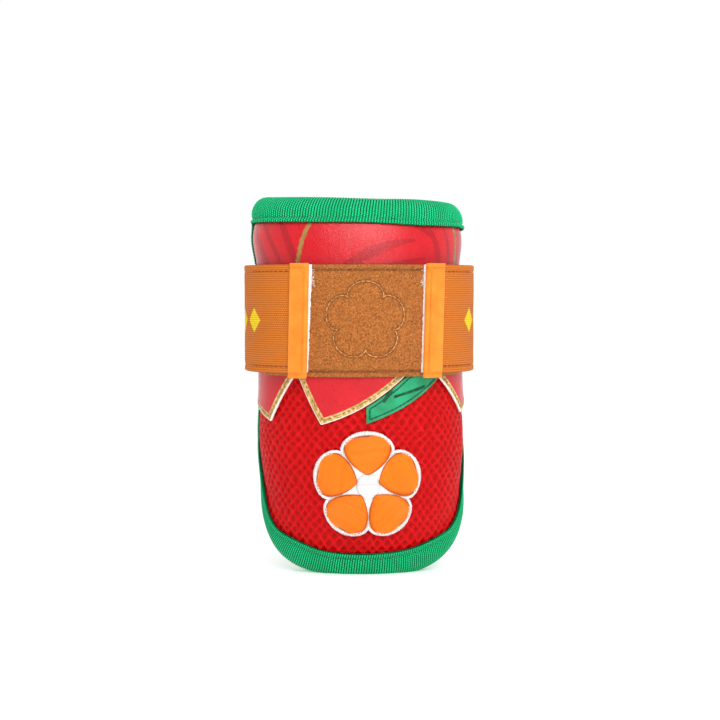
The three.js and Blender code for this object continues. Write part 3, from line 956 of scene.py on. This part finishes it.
SCALE_WIDE = 4.4
SCALE_TALL = 5.2
SCALE_WARP = 0.8
BOWL_DEEP = 0.62
RIDGE_HIGH = 0.3
LUMP_HIGH = 0.1
EMBOSS_RISE = 0.1
GOLD_END = 2.7
CUT_EDGE = 0.42
GOLD_STITCH = 1.7
STROKE_SOFT = 0.5
GOLD_SOFT = 0.4
THINNEST = 0.15
PETAL_SEAM = {"deep": 0.28, "wide": 0.5}
PETAL_CURL = {"high": 0.15, "reach": 2.5, "top": 96.0, "fade": 8.0}
PANEL_SWAY = 0.12
LEAF_SEAM = 1.35
LEAF_GROOVE = {"deep": 0.38, "wide": 0.28, "vein_wide": 0.6}
LEAF_PUFF = {"high": 0.4, "reach": 1.4}
LEAF_SWAY = 0.08
# Strength of the painted shade in the leaf's grooves.
LEAF_SEAM_SHADE = 0.75

# Tapering strokes on the upper panel: start s, start z, bend s, bend z, end s, end z, half width
STROKES = [
    (-62, 150, -54, 140, -50, 128, 1.5),
    (-56, 158, -47, 146, -44, 128, 2.2),
    (-50, 161, -38, 150, -36, 128, 1.3),
    (-40, 163, -30, 152, -29, 128, 1.9),
    (-17, 130, -2, 148, 24, 151, 2.4),
    (-13, 128, 4, 140, 30, 143, 1.5),
    (-7, 126, 10, 133, 33, 136, 1.2),
    (14, 161, 26, 158, 33, 150, 1.2),
    (29, 158, 36, 146, 37, 128, 1.6),
    (37, 158, 43, 146, 43, 128, 1.2),
    (49, 160, 52, 146, 50, 128, 1.7),
    (57, 158, 58, 146, 56, 128, 1.3),
]
# Gold lines, in the same columns
GOLD_LINES = [
    (-32, 122, -31, 146, -18, 166, 0.95),
    (47, 122, 49, 146, 43, 168, 0.8),
]


def scale_cells(points):
    """Bowls of the embossing, 1 in the middle of each and 0 round it, and the ridges between them."""
    sway = np.column_stack([ripple(points, (17, 29, 11), 11), ripple(points, (13, 23, 9), 12)])
    s, z = (points + SCALE_WARP * sway).T
    p = s / SCALE_WIDE + z / SCALE_TALL
    q = s / SCALE_WIDE - z / SCALE_TALL
    off_p = np.abs(p - np.round(p))
    off_q = np.abs(q - np.round(q))
    bowl = np.cos(np.pi * off_p) * np.cos(np.pi * off_q)
    broken = 0.6 + 0.4 * ripple(points, (3.3, 5.1, 7.7, 4.1), 13)
    return bowl, (2 * np.maximum(off_p, off_q)) ** 4 * broken


def embossing(points, edge):
    bowl, ridge = scale_cells(points)
    lumps = LUMP_HIGH * ripple(points, (2.1, 1.7, 2.9), 14)
    return RIDGE_HIGH * ridge - BOWL_DEEP * bowl + lumps + EMBOSS_RISE


def lower_outline():
    top = side_at(LOWER_PANEL_TOP, UNDER_TAPE)
    right, left = (part[part[:, 1] < LOWER_PANEL_TOP - 0.3] for part in np.array_split(inset(UNDER_TAPE), 2))
    corners = np.array([(top, LOWER_PANEL_TOP), (-top, LOWER_PANEL_TOP)])
    return spaced(np.vstack([right, corners, left]), 0.9, closed=True)


def lower_panel():
    outline = lower_outline()
    # Shares that carry painted shade into the bowls and a painted highlight onto the ridges.
    shares = {
        "pit": lambda points, edge: scale_cells(points)[0],
        "ridge": lambda points, edge: scale_cells(points)[1],
    }
    piece = plate("lower_panel_leather", outline, PANEL_LOW, PANEL_HIGH, shell_place, embossed_look(),
                  "embossed_leather", 0.62, edge_spacing=0.8, relief=embossing, measures=shares)
    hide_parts("lower_panel")


def petal_line():
    start = (-side_at(LEFT_START_Z, BESIDE_TAPE), LEFT_START_Z)
    end = (side_at(RIGHT_END_Z, BESIDE_TAPE), RIGHT_END_Z)
    return np.vstack([curves(start, PETAL_EDGE), end])


def upper_outline():
    right = np.array([(side_at(z, BESIDE_TAPE), z) for z in (LOWER_PANEL_TOP, LIFT_START)])
    above = inset(UNDER_TAPE)
    above = above[above[:, 1] > UPPER_WIDENS]
    return spaced(np.vstack([petal_line(), right, above, right[::-1] * (-1, 1)]), 0.6, closed=True)


def painted(points, rows, soft, taper):
    """Which points lie on strokes, 0 to 1; tapering strokes are thin at both ends."""
    total = np.zeros(len(points))
    for *curve, half in rows:
        line = curves(curve[:2], [curve[2:]])
        share = np.linspace(0, 1, len(line))
        wide = half * np.sin(np.pi * share) ** 0.7 if taper else np.full(len(line), half)
        here = wide[np.linalg.norm(points[:, None] - line, axis=2).argmin(1)]
        within = (here - distance_to(points, line)) / soft
        total = np.maximum(total, np.clip(within + 0.5, 0, 1) * (here > THINNEST))
    return total


def upper_panel():
    outline = upper_outline()
    line = petal_line()

    def relief(points, edge):
        petal = distance_to(points, line)
        seam = -PETAL_SEAM["deep"] * hump(petal, GOLD_STITCH, PETAL_SEAM["wide"])
        free = smooth_step(PETAL_CURL["top"] - points[:, 1], 0, PETAL_CURL["fade"])
        curl = PETAL_CURL["high"] * np.exp(-petal / PETAL_CURL["reach"]) * free
        return seam + curl + PANEL_SWAY * ripple(points, (47, 31, 71), 21)

    measures = {
        "petal": lambda points, edge: distance_to(points, line),
        "stroke": lambda points, edge: painted(points, STROKES, STROKE_SOFT, True),
        "gold": lambda points, edge: painted(points, GOLD_LINES, GOLD_SOFT, False),
    }
    piece = plate("upper_panel_leather", outline, PANEL_LOW, PANEL_HIGH, upper_place, upper_look(),
                  "red_leather", 0.7, edge_spacing=0.38, edge_band=4.0, bevel=0.4, relief=relief,
                  measures=measures)
    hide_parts("upper_panel")
    rows = offset_line(spaced(line, 0.4), GOLD_STITCH)
    sewn = [stitches(row, "gold_thread", PANEL_HIGH - 0.2) for row in rows]
    threads("petal_stitches", sewn, upper_place, thread_look("gold_thread"), "red_leather")


def vein_threads(line, half=0.75, pitch=0.45, radius=0.2, height=0.14):
    """Short threads laid side by side across a vein of the leaf."""
    points = spaced(line, pitch)
    along = unit(np.gradient(points, axis=0))
    across = np.stack([-along[:, 1], along[:, 0]], -1) + 0.35 * along
    share = np.linspace(-1, 1, 6)
    reach = half * rng.uniform(0.88, 1.08, (len(points), 1, 1))
    paths = points[:, None] + across[:, None] * share[:, None] * reach
    rise = LEAF_HIGH + 0.05 + height * (1 - share ** 4) - radius * share ** 8
    return tubes(lifted(paths, rise), radius, sides=5)


def leaf_patch():
    outline = spaced(curves(LEAF_START, LEAF_EDGE)[:-1], 0.4, closed=True)
    veins = [np.array(vein) for vein in LEAF_VEINS]

    def seam(points, edge):
        grooves = [hump(distance_to(points, vein), 0, LEAF_GROOVE["vein_wide"]) for vein in veins]
        return np.max([hump(edge, LEAF_SEAM, LEAF_GROOVE["wide"]), *grooves], axis=0)

    def relief(points, edge):
        puff = LEAF_PUFF["high"] * (1 - np.exp(-np.maximum(edge - LEAF_SEAM, 0) / LEAF_PUFF["reach"]))
        return puff - LEAF_GROOVE["deep"] * seam(points, edge) + LEAF_SWAY * ripple(points, (9, 13), 31)

    # The seam measure carries painted shade into the leaf's grooves.
    piece = plate("leaf_patch_leather", outline, TRIM_LOW, LEAF_HIGH, shell_place, leaf_look(),
                  "green_leather", 0.45, edge_spacing=0.25, edge_band=2.2, bevel=0.4, relief=relief,
                  measures={"seam": lambda points, edge: LEAF_SEAM_SHADE * seam(points, edge)})
    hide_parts("leaf_patch")
    border = offset_line(outline, LEAF_SEAM, closed=True)
    sewn = [stitches(row, "leaf_thread", LEAF_HIGH - 0.1) for row in border]
    sewn += [vein_threads(vein) for vein in veins]
    threads("leaf_stitches", sewn, shell_place, thread_look("leaf_thread"), "green_leather")


# Blossom badge

SATIN = 0.42
SATIN_RADIUS = 0.26
SATIN_LEAN = 0.28
SATIN_SINK = 0.15
PETAL_CROWN = 0.95
BORDER_HIGH = 0.55
BORDER_SINK = 0.1
MIDDLE_HALF = 5.2
MIDDLE_RADIUS = 5.4
MIDDLE_HIGH = 0.5


def blossom_line(radius, notch, middle_z, count):
    """Round line with five lobes."""
    angle = 2 * np.pi * np.arange(count) / count
    lobe = np.sqrt(np.abs(np.cos(BADGE_PETALS * angle / 2)))
    reach = radius - notch * (1 - lobe)
    return np.column_stack([-reach * np.sin(angle), middle_z + reach * np.cos(angle)])


def dome(share):
    """Height of a round crown over places from minus one to one."""
    return np.sqrt(np.maximum(1 - share ** 2, 0))


def border_threads():
    """White threads laid across the badge's edge, and over its middle."""
    line = spaced(blossom_line(BADGE_RADIUS, BADGE_NOTCH, BADGE_Z, 400), SATIN, closed=True)
    outward = unit(line - (0.0, BADGE_Z))
    inner = line - outward * rng.uniform(1.6, 1.9, (len(line), 1))
    outer = line + outward * rng.uniform(0.0, 0.25, (len(line), 1))
    share = np.linspace(0, 1, 7)
    flat = inner[:, None] + (outer - inner)[:, None] * share[:, None]
    low = BADGE_HIGH - BORDER_SINK
    edge = tubes(lifted(flat, low + BORDER_HIGH * np.sin(np.pi * share) ** 0.7), SATIN_RADIUS, sides=5)
    across = np.arange(-MIDDLE_HALF, MIDDLE_HALF, SATIN)[:, None]
    share = np.linspace(-1, 1, 8)
    s = np.sqrt(MIDDLE_RADIUS ** 2 - across ** 2) * share
    flat = np.stack([s, np.broadcast_to(BADGE_Z + across, s.shape)], -1)
    return [edge, tubes(lifted(flat, low + MIDDLE_HIGH * dome(share)), SATIN_RADIUS, sides=5)]


def petal_turned(flat, number):
    """Flat points of the first petal turned to another one's place."""
    turn = 2 * np.pi * number / BADGE_PETALS
    s, z = flat[..., 0], flat[..., 1]
    turned_s = s * math.cos(turn) - z * math.sin(turn)
    turned_z = s * math.sin(turn) + z * math.cos(turn) + BADGE_Z
    return np.stack([turned_s, turned_z], -1)


def petal_threads(number):
    """Satin threads from edge to edge of one petal, over a soft crown."""
    right = bezier(BADGE_CURVE, 80)
    rising = right[:np.argmax(right[:, 1]) + 1]
    along = np.arange(rising[0, 1] + 0.35, rising[-1, 1] - 0.1, SATIN)[:, None]
    half = np.interp(along, rising[:, 1], rising[:, 0])
    share = np.linspace(-1, 1, 10)
    s = half * share
    z = along + SATIN_LEAN * s * (1 - np.abs(share))
    t = PETAL_LOW - SATIN_SINK + PETAL_CROWN * dome(share) * np.minimum(half / 4, 1)
    return tubes(lifted(petal_turned(np.stack([s, z], -1), number), t), SATIN_RADIUS, sides=5)


def petal_border(number):
    """A dark line sewn round one petal."""
    right = bezier(BADGE_CURVE, 80)
    line = np.vstack([right, right[-2::-1] * (-1, 1)])
    return stitches(petal_turned(spaced(line, 0.3), number), "petal_line_thread", PETAL_LOW)


def badge():
    outline = spaced(blossom_line(BADGE_RADIUS, BADGE_NOTCH, BADGE_Z, 300), 0.5, closed=True)
    piece = plate("badge_backing_felt", outline, TRIM_LOW, BADGE_HIGH, shell_place, felt_look(),
                  "white_thread", 1.0, edge_spacing=0.45)
    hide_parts("badge_backing")
    threads("badge_border", border_threads(), shell_place, thread_look("white_thread"), "white_thread")
    orange = thread_look("orange_thread")
    for number in range(BADGE_PETALS):
        name = f"badge_petal_{number + 1}"
        petal = threads(name + "_satin", [petal_threads(number)], shell_place, orange, "orange_thread")
        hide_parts(name)
    borders = [petal_border(number) for number in range(BADGE_PETALS)]
    threads("badge_petal_lines", borders, shell_place, thread_look("petal_line_thread"), "orange_thread")


# Strap

ELASTIC_RIB = 0.97
ELASTIC_YARN = 1.1
ELASTIC_SEAM = {"in": 3.0, "deep": 0.25, "wide": 0.6}
ELASTIC_RIBS = {"from": 0.3, "full": 1.4, "high": 0.24, "mean": 0.6, "back": 0.1}
ELASTIC_SWAY = 0.12
LOZENGE_FIRST = 52.0
LOZENGE = {"first": LOZENGE_FIRST, "step": (STRAP_HALF_LOOP - LOZENGE_FIRST) / 7, "half": 4.6, "tall": 5.6}
PATCH_SEAM = 2.4
PATCH_SEAM_HIGH = 1.15
BLOSSOM_HIGH = 1.3
PATCH_BLOSSOM = (17.5, 5.0)
# The groove's shade is the strength of the painted shade in the sewn grooves.
PATCH_GROOVE = {"deep": 0.55, "wide": 0.8, "shade": 0.6}
PATCH_TUFT = {"high": 0.16, "sink": 0.1}
PILE_HALF = 24.5
PILE_STEP = 0.58
PILE_ROOT = 1.35
PILE_RADIUS = 0.095
PILE_JITTER = 0.3
PILE_CLEAR = 0.55
PILE_SPAN = (0.35, 0.8)
PILE_TALL = (0.3, 0.62)
HOOK_FRAY = 0.35
FIBRES = 110
TUFT_FIBRES = 22
FIBRE_RADIUS = 0.07
TAB_SEAM_END = 2.1
TAB_SEAM_FOLD = 1.7
TAB_SEAM_WIDE = 0.45
TAB_SEAM_DEEP = 0.16
TAB_SWAY = 0.1
TAB_EDGE = {"wide": 0.3, "thinner": 0.7}


def strap_elastic():
    start = RIGHT_END["start"] + TAB["cloth"] + GAP
    end = 2 * STRAP_HALF_LOOP - (LEFT_END["start"] + TAB["cloth"] + GAP)
    s = np.linspace(start, end, 150)
    z = np.linspace(ELASTIC_LOW, STRAP_TOP, 201)

    def rib(points, edge):
        inner = smooth_step(edge, ELASTIC_RIBS["from"], ELASTIC_RIBS["full"])
        return np.abs(np.sin(np.pi * points[:, 1] / ELASTIC_RIB)), inner

    def sway(points):
        return ELASTIC_SWAY * ripple(points, (29, 53, 17), 41)

    def front(points, edge):
        high, inner = rib(points, edge)
        seam = ELASTIC_SEAM["deep"] * hump(edge, ELASTIC_SEAM["in"], ELASTIC_SEAM["wide"])
        return inner * ELASTIC_RIBS["high"] * (high - ELASTIC_RIBS["mean"]) - seam + sway(points)

    def back(points, edge):
        high, inner = rib(points, edge)
        return sway(points) - inner * ELASTIC_RIBS["back"] * high

    piece = band("strap_elastic_web", s, z, ELASTIC["low"], ELASTIC["high"], strap_place, elastic_look(),
                 "elastic", front_relief=front, back_relief=back)
    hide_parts("strap_elastic")
    sewn = []
    for end in (LEFT_END, RIGHT_END):
        for z_seam in (ELASTIC_LOW + ELASTIC_SEAM["in"], STRAP_TOP - ELASTIC_SEAM["in"]):
            line = paired(end["side"] * np.array([end["end"] + 0.5, HOOK["end"] - 1]), z_seam)
            sewn.append(stitches(line, "strap_thread", ELASTIC["high"] - 0.15))
    threads("strap_stitches", sewn, strap_place, thread_look("strap_thread"), "elastic")


def patch_lines():
    """Sewn lines on the pile: a blossom in the middle, and one along each edge."""
    blossom = blossom_line(*PATCH_BLOSSOM, STRAP_MIDDLE, 300)
    lines = [np.vstack([blossom, blossom[:1]])]
    for z in (PATCH_LOW + PATCH_SEAM, STRAP_TOP - PATCH_SEAM):
        lines.append(np.array([(-PATCH_HALF + 2, z), (PATCH_HALF - 2, z)]))
    return lines


def loop_patch():
    s = np.linspace(-PATCH_HALF, PATCH_HALF, 190)
    z = np.linspace(PATCH_LOW, STRAP_TOP, 100)
    lines = patch_lines()
    grid = np.stack(np.meshgrid(s, z, indexing="ij"), -1).reshape(-1, 2)
    groove = hump(np.min([distance_to(grid, line) for line in lines], axis=0), 0, PATCH_GROOVE["wide"])

    def relief(points, edge):
        shown = 1 - smooth_step(np.abs(points[:, 0]), PILE_HALF - 1.5, PILE_HALF - 0.5)
        tuft = PATCH_TUFT["high"] * ripple(points, (1.3, 1.9, 2.4, 1.1), 51) - PATCH_TUFT["sink"]
        return shown * tuft - PATCH_GROOVE["deep"] * groove

    # The seam measure carries painted shade into the sewn grooves.
    piece = band("loop_patch_backing", s, z, 0.0, PATCH_HIGH, strap_place, patch_look(), "loop_pile",
                 front_relief=relief, seam=np.tile(PATCH_GROOVE["shade"] * groove, 2))
    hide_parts("loop_patch")
    threads("loop_patch_pile", [pile_loops(lines)], strap_place, pile_look(), "loop_pile")
    blossom, *seams = [spaced(line, 0.5) for line in lines]
    sewn = [stitches(blossom, "blossom_thread", BLOSSOM_HIGH)]
    threads("loop_patch_blossom", sewn, strap_place, thread_look("blossom_thread"), "loop_pile")
    sewn = [stitches(line, "patch_thread", PATCH_SEAM_HIGH) for line in seams]
    threads("loop_patch_stitches", sewn, strap_place, thread_look("patch_thread"), "loop_pile")


def pile_loops(lines):
    """Fine loops of the pile, thinner where the sewing holds them down."""
    s, z = np.meshgrid(np.arange(-LEFT_END["hook"] + 0.2, RIGHT_END["hook"] - 0.2, PILE_STEP),
                       np.arange(PATCH_LOW + 0.4, STRAP_TOP - 0.3, PILE_STEP))
    roots = np.stack([s.ravel(), z.ravel()], -1)
    roots = roots + rng.uniform(-PILE_JITTER, PILE_JITTER, roots.shape)
    near = np.min([distance_to(roots, line) for line in lines], axis=0)
    roots, near = roots[near > PILE_CLEAR], near[near > PILE_CLEAR]
    turn = rng.uniform(0, np.pi, len(roots))
    span = rng.uniform(*PILE_SPAN, len(roots))
    tall = rng.uniform(*PILE_TALL, len(roots)) * np.clip(near / 1.4, 0.35, 1)
    share = np.linspace(-1, 1, 5)
    heading = np.column_stack([np.cos(turn), np.sin(turn)])
    paths = roots[:, None] + (share * span[:, None] / 2)[..., None] * heading[:, None]
    return tubes(lifted(paths, PILE_ROOT + tall[:, None] * (1 - share ** 2)), PILE_RADIUS, sides=3)


def hook_pad(end, name):
    """Pale hook pad with a ragged cut edge."""
    side = end["side"]
    s = side * np.linspace(end["hook"], HOOK["end"], 26)
    z = np.linspace(HOOK_LOW, STRAP_TOP, 90)
    fray = np.abs(ripple(z, (3.1, 5.7, 9.0), 61 + side))

    def ragged(flat):
        moved = np.array(flat, float)
        near = np.exp(-np.abs(np.abs(moved[:, 0]) - end["hook"]) / 0.6)
        moved[:, 0] += side * near * HOOK_FRAY * np.interp(moved[:, 1], z, fray)
        return strap_slanted(end["hook_slant"])(moved)

    piece = band(f"hook_pad_{name}_tape", np.sort(s), z, HOOK["low"], HOOK["high"], ragged, hook_look(),
                 "hook_tape")
    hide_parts(f"hook_pad_{name}")


def hook_fray(end, name):
    """Loose fibres along the hook pad's cut edge, with one longer tuft near its top."""
    edge_z = rng.uniform(HOOK_LOW + 0.5, STRAP_TOP - 0.5, FIBRES)
    z = np.concatenate([edge_z, rng.normal(STRAP_TOP - 6.5, 1.6, TUFT_FIBRES)])[:, None]
    edge_length = rng.uniform(0.3, 0.9, FIBRES)
    length = np.concatenate([edge_length, rng.uniform(0.8, 2.2, TUFT_FIBRES)])[:, None]
    droop = rng.normal(0, 0.35, (len(z), 1))
    share = np.linspace(0, 1, 5)
    root = end["hook"] + 0.5 + end["side"] * end["hook_slant"] * (z - STRAP_MIDDLE)
    paths = np.stack([end["side"] * (root - length * share), z + droop * length * share ** 2], -1)
    t = HOOK["high"] - 0.2 + rng.uniform(0, 0.5, (len(z), 1)) * share
    fibres = tubes(lifted(paths, t), FIBRE_RADIUS, sides=4)
    look = thread_look("hook_fibre", f"_{name}")
    threads(f"hook_pad_{name}_fray", [fibres], strap_place, look, "hook_tape")


def tab_section(end):
    """Middle line of the folded cloth, as s and t: outer leaf, fold, inner leaf."""
    half = (TAB["high"] - TAB["low"] - TAB["cloth"]) / 2
    middle = (TAB["high"] + TAB["low"]) / 2
    bend_s = end["start"] + TAB["cloth"] / 2 + half
    leaf = np.linspace(end["end"], bend_s, 27)[:-1]
    turn = np.linspace(math.pi / 2, 3 * math.pi / 2, 13)
    fold = np.column_stack([bend_s + half * np.cos(turn), middle + half * np.sin(turn)])
    return np.vstack([paired(leaf, middle + half), fold, paired(leaf, middle - half)[::-1]])


def pull_tab(end, name):
    """Orange cloth folded round the strap's end, sewn along its fold and its two ends."""
    side = end["side"]
    line = tab_section(end)
    along = unit(np.gradient(line, axis=0))
    low, high = PATCH_LOW - TAB["overhang"], STRAP_TOP + TAB["overhang"]
    from_fold, z = np.meshgrid(line[:, 0] - end["start"], np.linspace(low, high, 80))
    from_end = np.minimum(z - low, high - z)
    outer_leaf = line[:, 1] > (TAB["high"] + TAB["low"]) / 2
    near_fold = hump(from_fold, TAB_SEAM_FOLD, TAB_SEAM_WIDE) * (from_end > TAB_SEAM_END - 0.6)
    seam = np.maximum(hump(from_end, TAB_SEAM_END, TAB_SEAM_WIDE), near_fold) * outer_leaf
    places = np.stack([from_fold, z], -1).reshape(-1, 2)
    sway = TAB_SWAY * ripple(places, (11, 17, 29), 71 + side).reshape(z.shape)
    thinner = TAB_EDGE["thinner"] * np.clip(1 - from_end / TAB_EDGE["wide"], 0, 1) ** 2
    thick = TAB["cloth"] / 2 * (1 - thinner)
    leaves = []
    for face in (1, -1):
        lift = face * thick + outer_leaf * (sway - TAB_SEAM_DEEP * seam)
        s, t = line[:, 0] + along[:, 1] * lift, line[:, 1] - along[:, 0] * lift
        leaves.append(np.stack([side * s, z, t], -1))
    faces = sheet_faces(*z.shape)[:, ::-side].tolist()
    # The seam measure carries painted shade into the sewn grooves, at half strength.
    piece = make(f"pull_tab_{name}_cloth", np.reshape(leaves, (-1, 3)), faces, strap_slanted(end["slant"]),
                 cloth_look(), "tab_cloth", seam=np.tile(0.5 * seam.ravel(), 2))
    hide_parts(f"pull_tab_{name}")
    tab_stitches(end, name, low, high)


def tab_stitches(end, name, low, high):
    """Three rows of stitches: along one end of the tab, its fold and its other end."""
    fold, leaf_end = end["start"] + TAB_SEAM_FOLD, end["end"] - 0.8
    bottom, top = low + TAB_SEAM_END, high - TAB_SEAM_END
    corners = np.array([(leaf_end, bottom), (fold, bottom), (fold, top), (leaf_end, top)]) * (end["side"], 1)
    sewn = [stitches(corners[i:i + 2], "tab_thread", TAB["high"] - 0.1) for i in range(3)]
    look = thread_look("tab_thread", f"_{name}")
    threads(f"pull_tab_{name}_stitches", sewn, strap_slanted(end["slant"]), look, "tab_cloth")


# Studio, in metres

CAMERA_AZIMUTH = math.radians(-4)
CAMERA_DISTANCE = 0.8
CAMERA_HEIGHT = 0.1294
ARM_AXIS_Y = 0.0086
AIM_RIGHT = 0.00122
AIM_HEIGHT = 0.0958
FOCAL = 85.1
SENSOR = 36.0
FLOOR_HALF = 8.0
FLOOR_GLOW = 0.3
ROOM_BACK = 1.02
ROOM_FRONT = 0.27

# Lights: name, place, aim, width, height, power in watts
LIGHTS = [
    ("key", (0.36, -0.85, 0.85), (0, 0, 0.1), 0.6, 0.6, 3.0),
    ("strip", (0.02, -0.8, 0.63), (0, 0, 0.15), 0.8, 0.12, 5.0),
    ("fill", (0.5, -1.0, 0.2), (0, 0, 0.06), 0.4, 0.4, 0.9),
]


def aimed(name, data, place, aim):
    """A camera or a light at a place, turned to a point."""
    made = bpy.data.objects.new(name, data)
    made.location = place
    made.rotation_mode = "QUATERNION"
    made.rotation_quaternion = (Vector(aim) - Vector(place)).to_track_quat("-Z", "Y")
    bpy.context.scene.collection.objects.link(made)
    return made


def camera():
    right = Vector((math.cos(CAMERA_AZIMUTH), math.sin(CAMERA_AZIMUTH), 0))
    forward = Vector((-math.sin(CAMERA_AZIMUTH), math.cos(CAMERA_AZIMUTH), 0))
    axis = Vector((0, ARM_AXIS_Y, 0))
    place = axis - forward * CAMERA_DISTANCE + Vector((0, 0, CAMERA_HEIGHT))
    aim = axis + right * AIM_RIGHT + Vector((0, 0, AIM_HEIGHT))
    data = bpy.data.cameras.new("camera")
    data.lens = FOCAL
    data.sensor_width = SENSOR
    bpy.context.scene.camera = aimed("camera", data, place, aim)


def room():
    """White all round, and darker behind the camera."""
    world = bpy.data.worlds.new("studio")
    world.use_nodes = True
    tree = world.node_tree
    way = tree.nodes.new("ShaderNodeSeparateXYZ")
    tree.links.new(tree.nodes.new("ShaderNodeTexCoord").outputs["Generated"], way.inputs[0])
    level = tree.nodes.new("ShaderNodeMapRange")
    level.interpolation_type = "SMOOTHSTEP"
    limits = {"From Min": -1.0, "From Max": 0.2, "To Min": ROOM_FRONT, "To Max": ROOM_BACK}
    for key, number in limits.items():
        level.inputs[key].default_value = number
    tree.links.new(way.outputs["Y"], level.inputs["Value"])
    background = tree.nodes["Background"]
    background.inputs["Color"].default_value = (1, 1, 1, 1)
    tree.links.new(level.outputs["Result"], background.inputs["Strength"])
    bpy.context.scene.world = world


def studio():
    room()
    for name, place, aim, wide, tall, power in LIGHTS:
        light = bpy.data.lights.new(name, "AREA")
        light.shape = "RECTANGLE"
        light.size = wide
        light.size_y = tall
        light.energy = power
        aimed(name, light, place, aim)
    bpy.context.scene.view_settings.view_transform = "Standard"


def floor():
    """White paper on a light table."""
    mesh = bpy.data.meshes.new("floor")
    corners = [(x * FLOOR_HALF, y * FLOOR_HALF, 0) for x, y in ((-1, -1), (1, -1), (1, 1), (-1, 1))]
    mesh.from_pydata(corners, [], [(0, 1, 2, 3)])
    made = bpy.data.objects.new("floor", mesh)
    graph = Graph("floor_paper", 0.9, specular=0.1)
    graph.shader.inputs["Emission Color"].default_value = (1, 1, 1, 1)
    graph.shader.inputs["Emission Strength"].default_value = FLOOR_GLOW
    mesh.materials.append(graph.finish(graph.mottle(40.0, (0.86, 0.86, 0.86), (0.88, 0.88, 0.88))))
    bpy.context.scene.collection.objects.link(made)


camera()
studio()
floor()
pad_body()
lower_panel()
upper_panel()
leaf_patch()
badge()
edge_binding()
strap_elastic()
loop_patch()
for end, name in ((LEFT_END, "left"), (RIGHT_END, "right")):
    hook_pad(end, name)
    hook_fray(end, name)
    pull_tab(end, name)
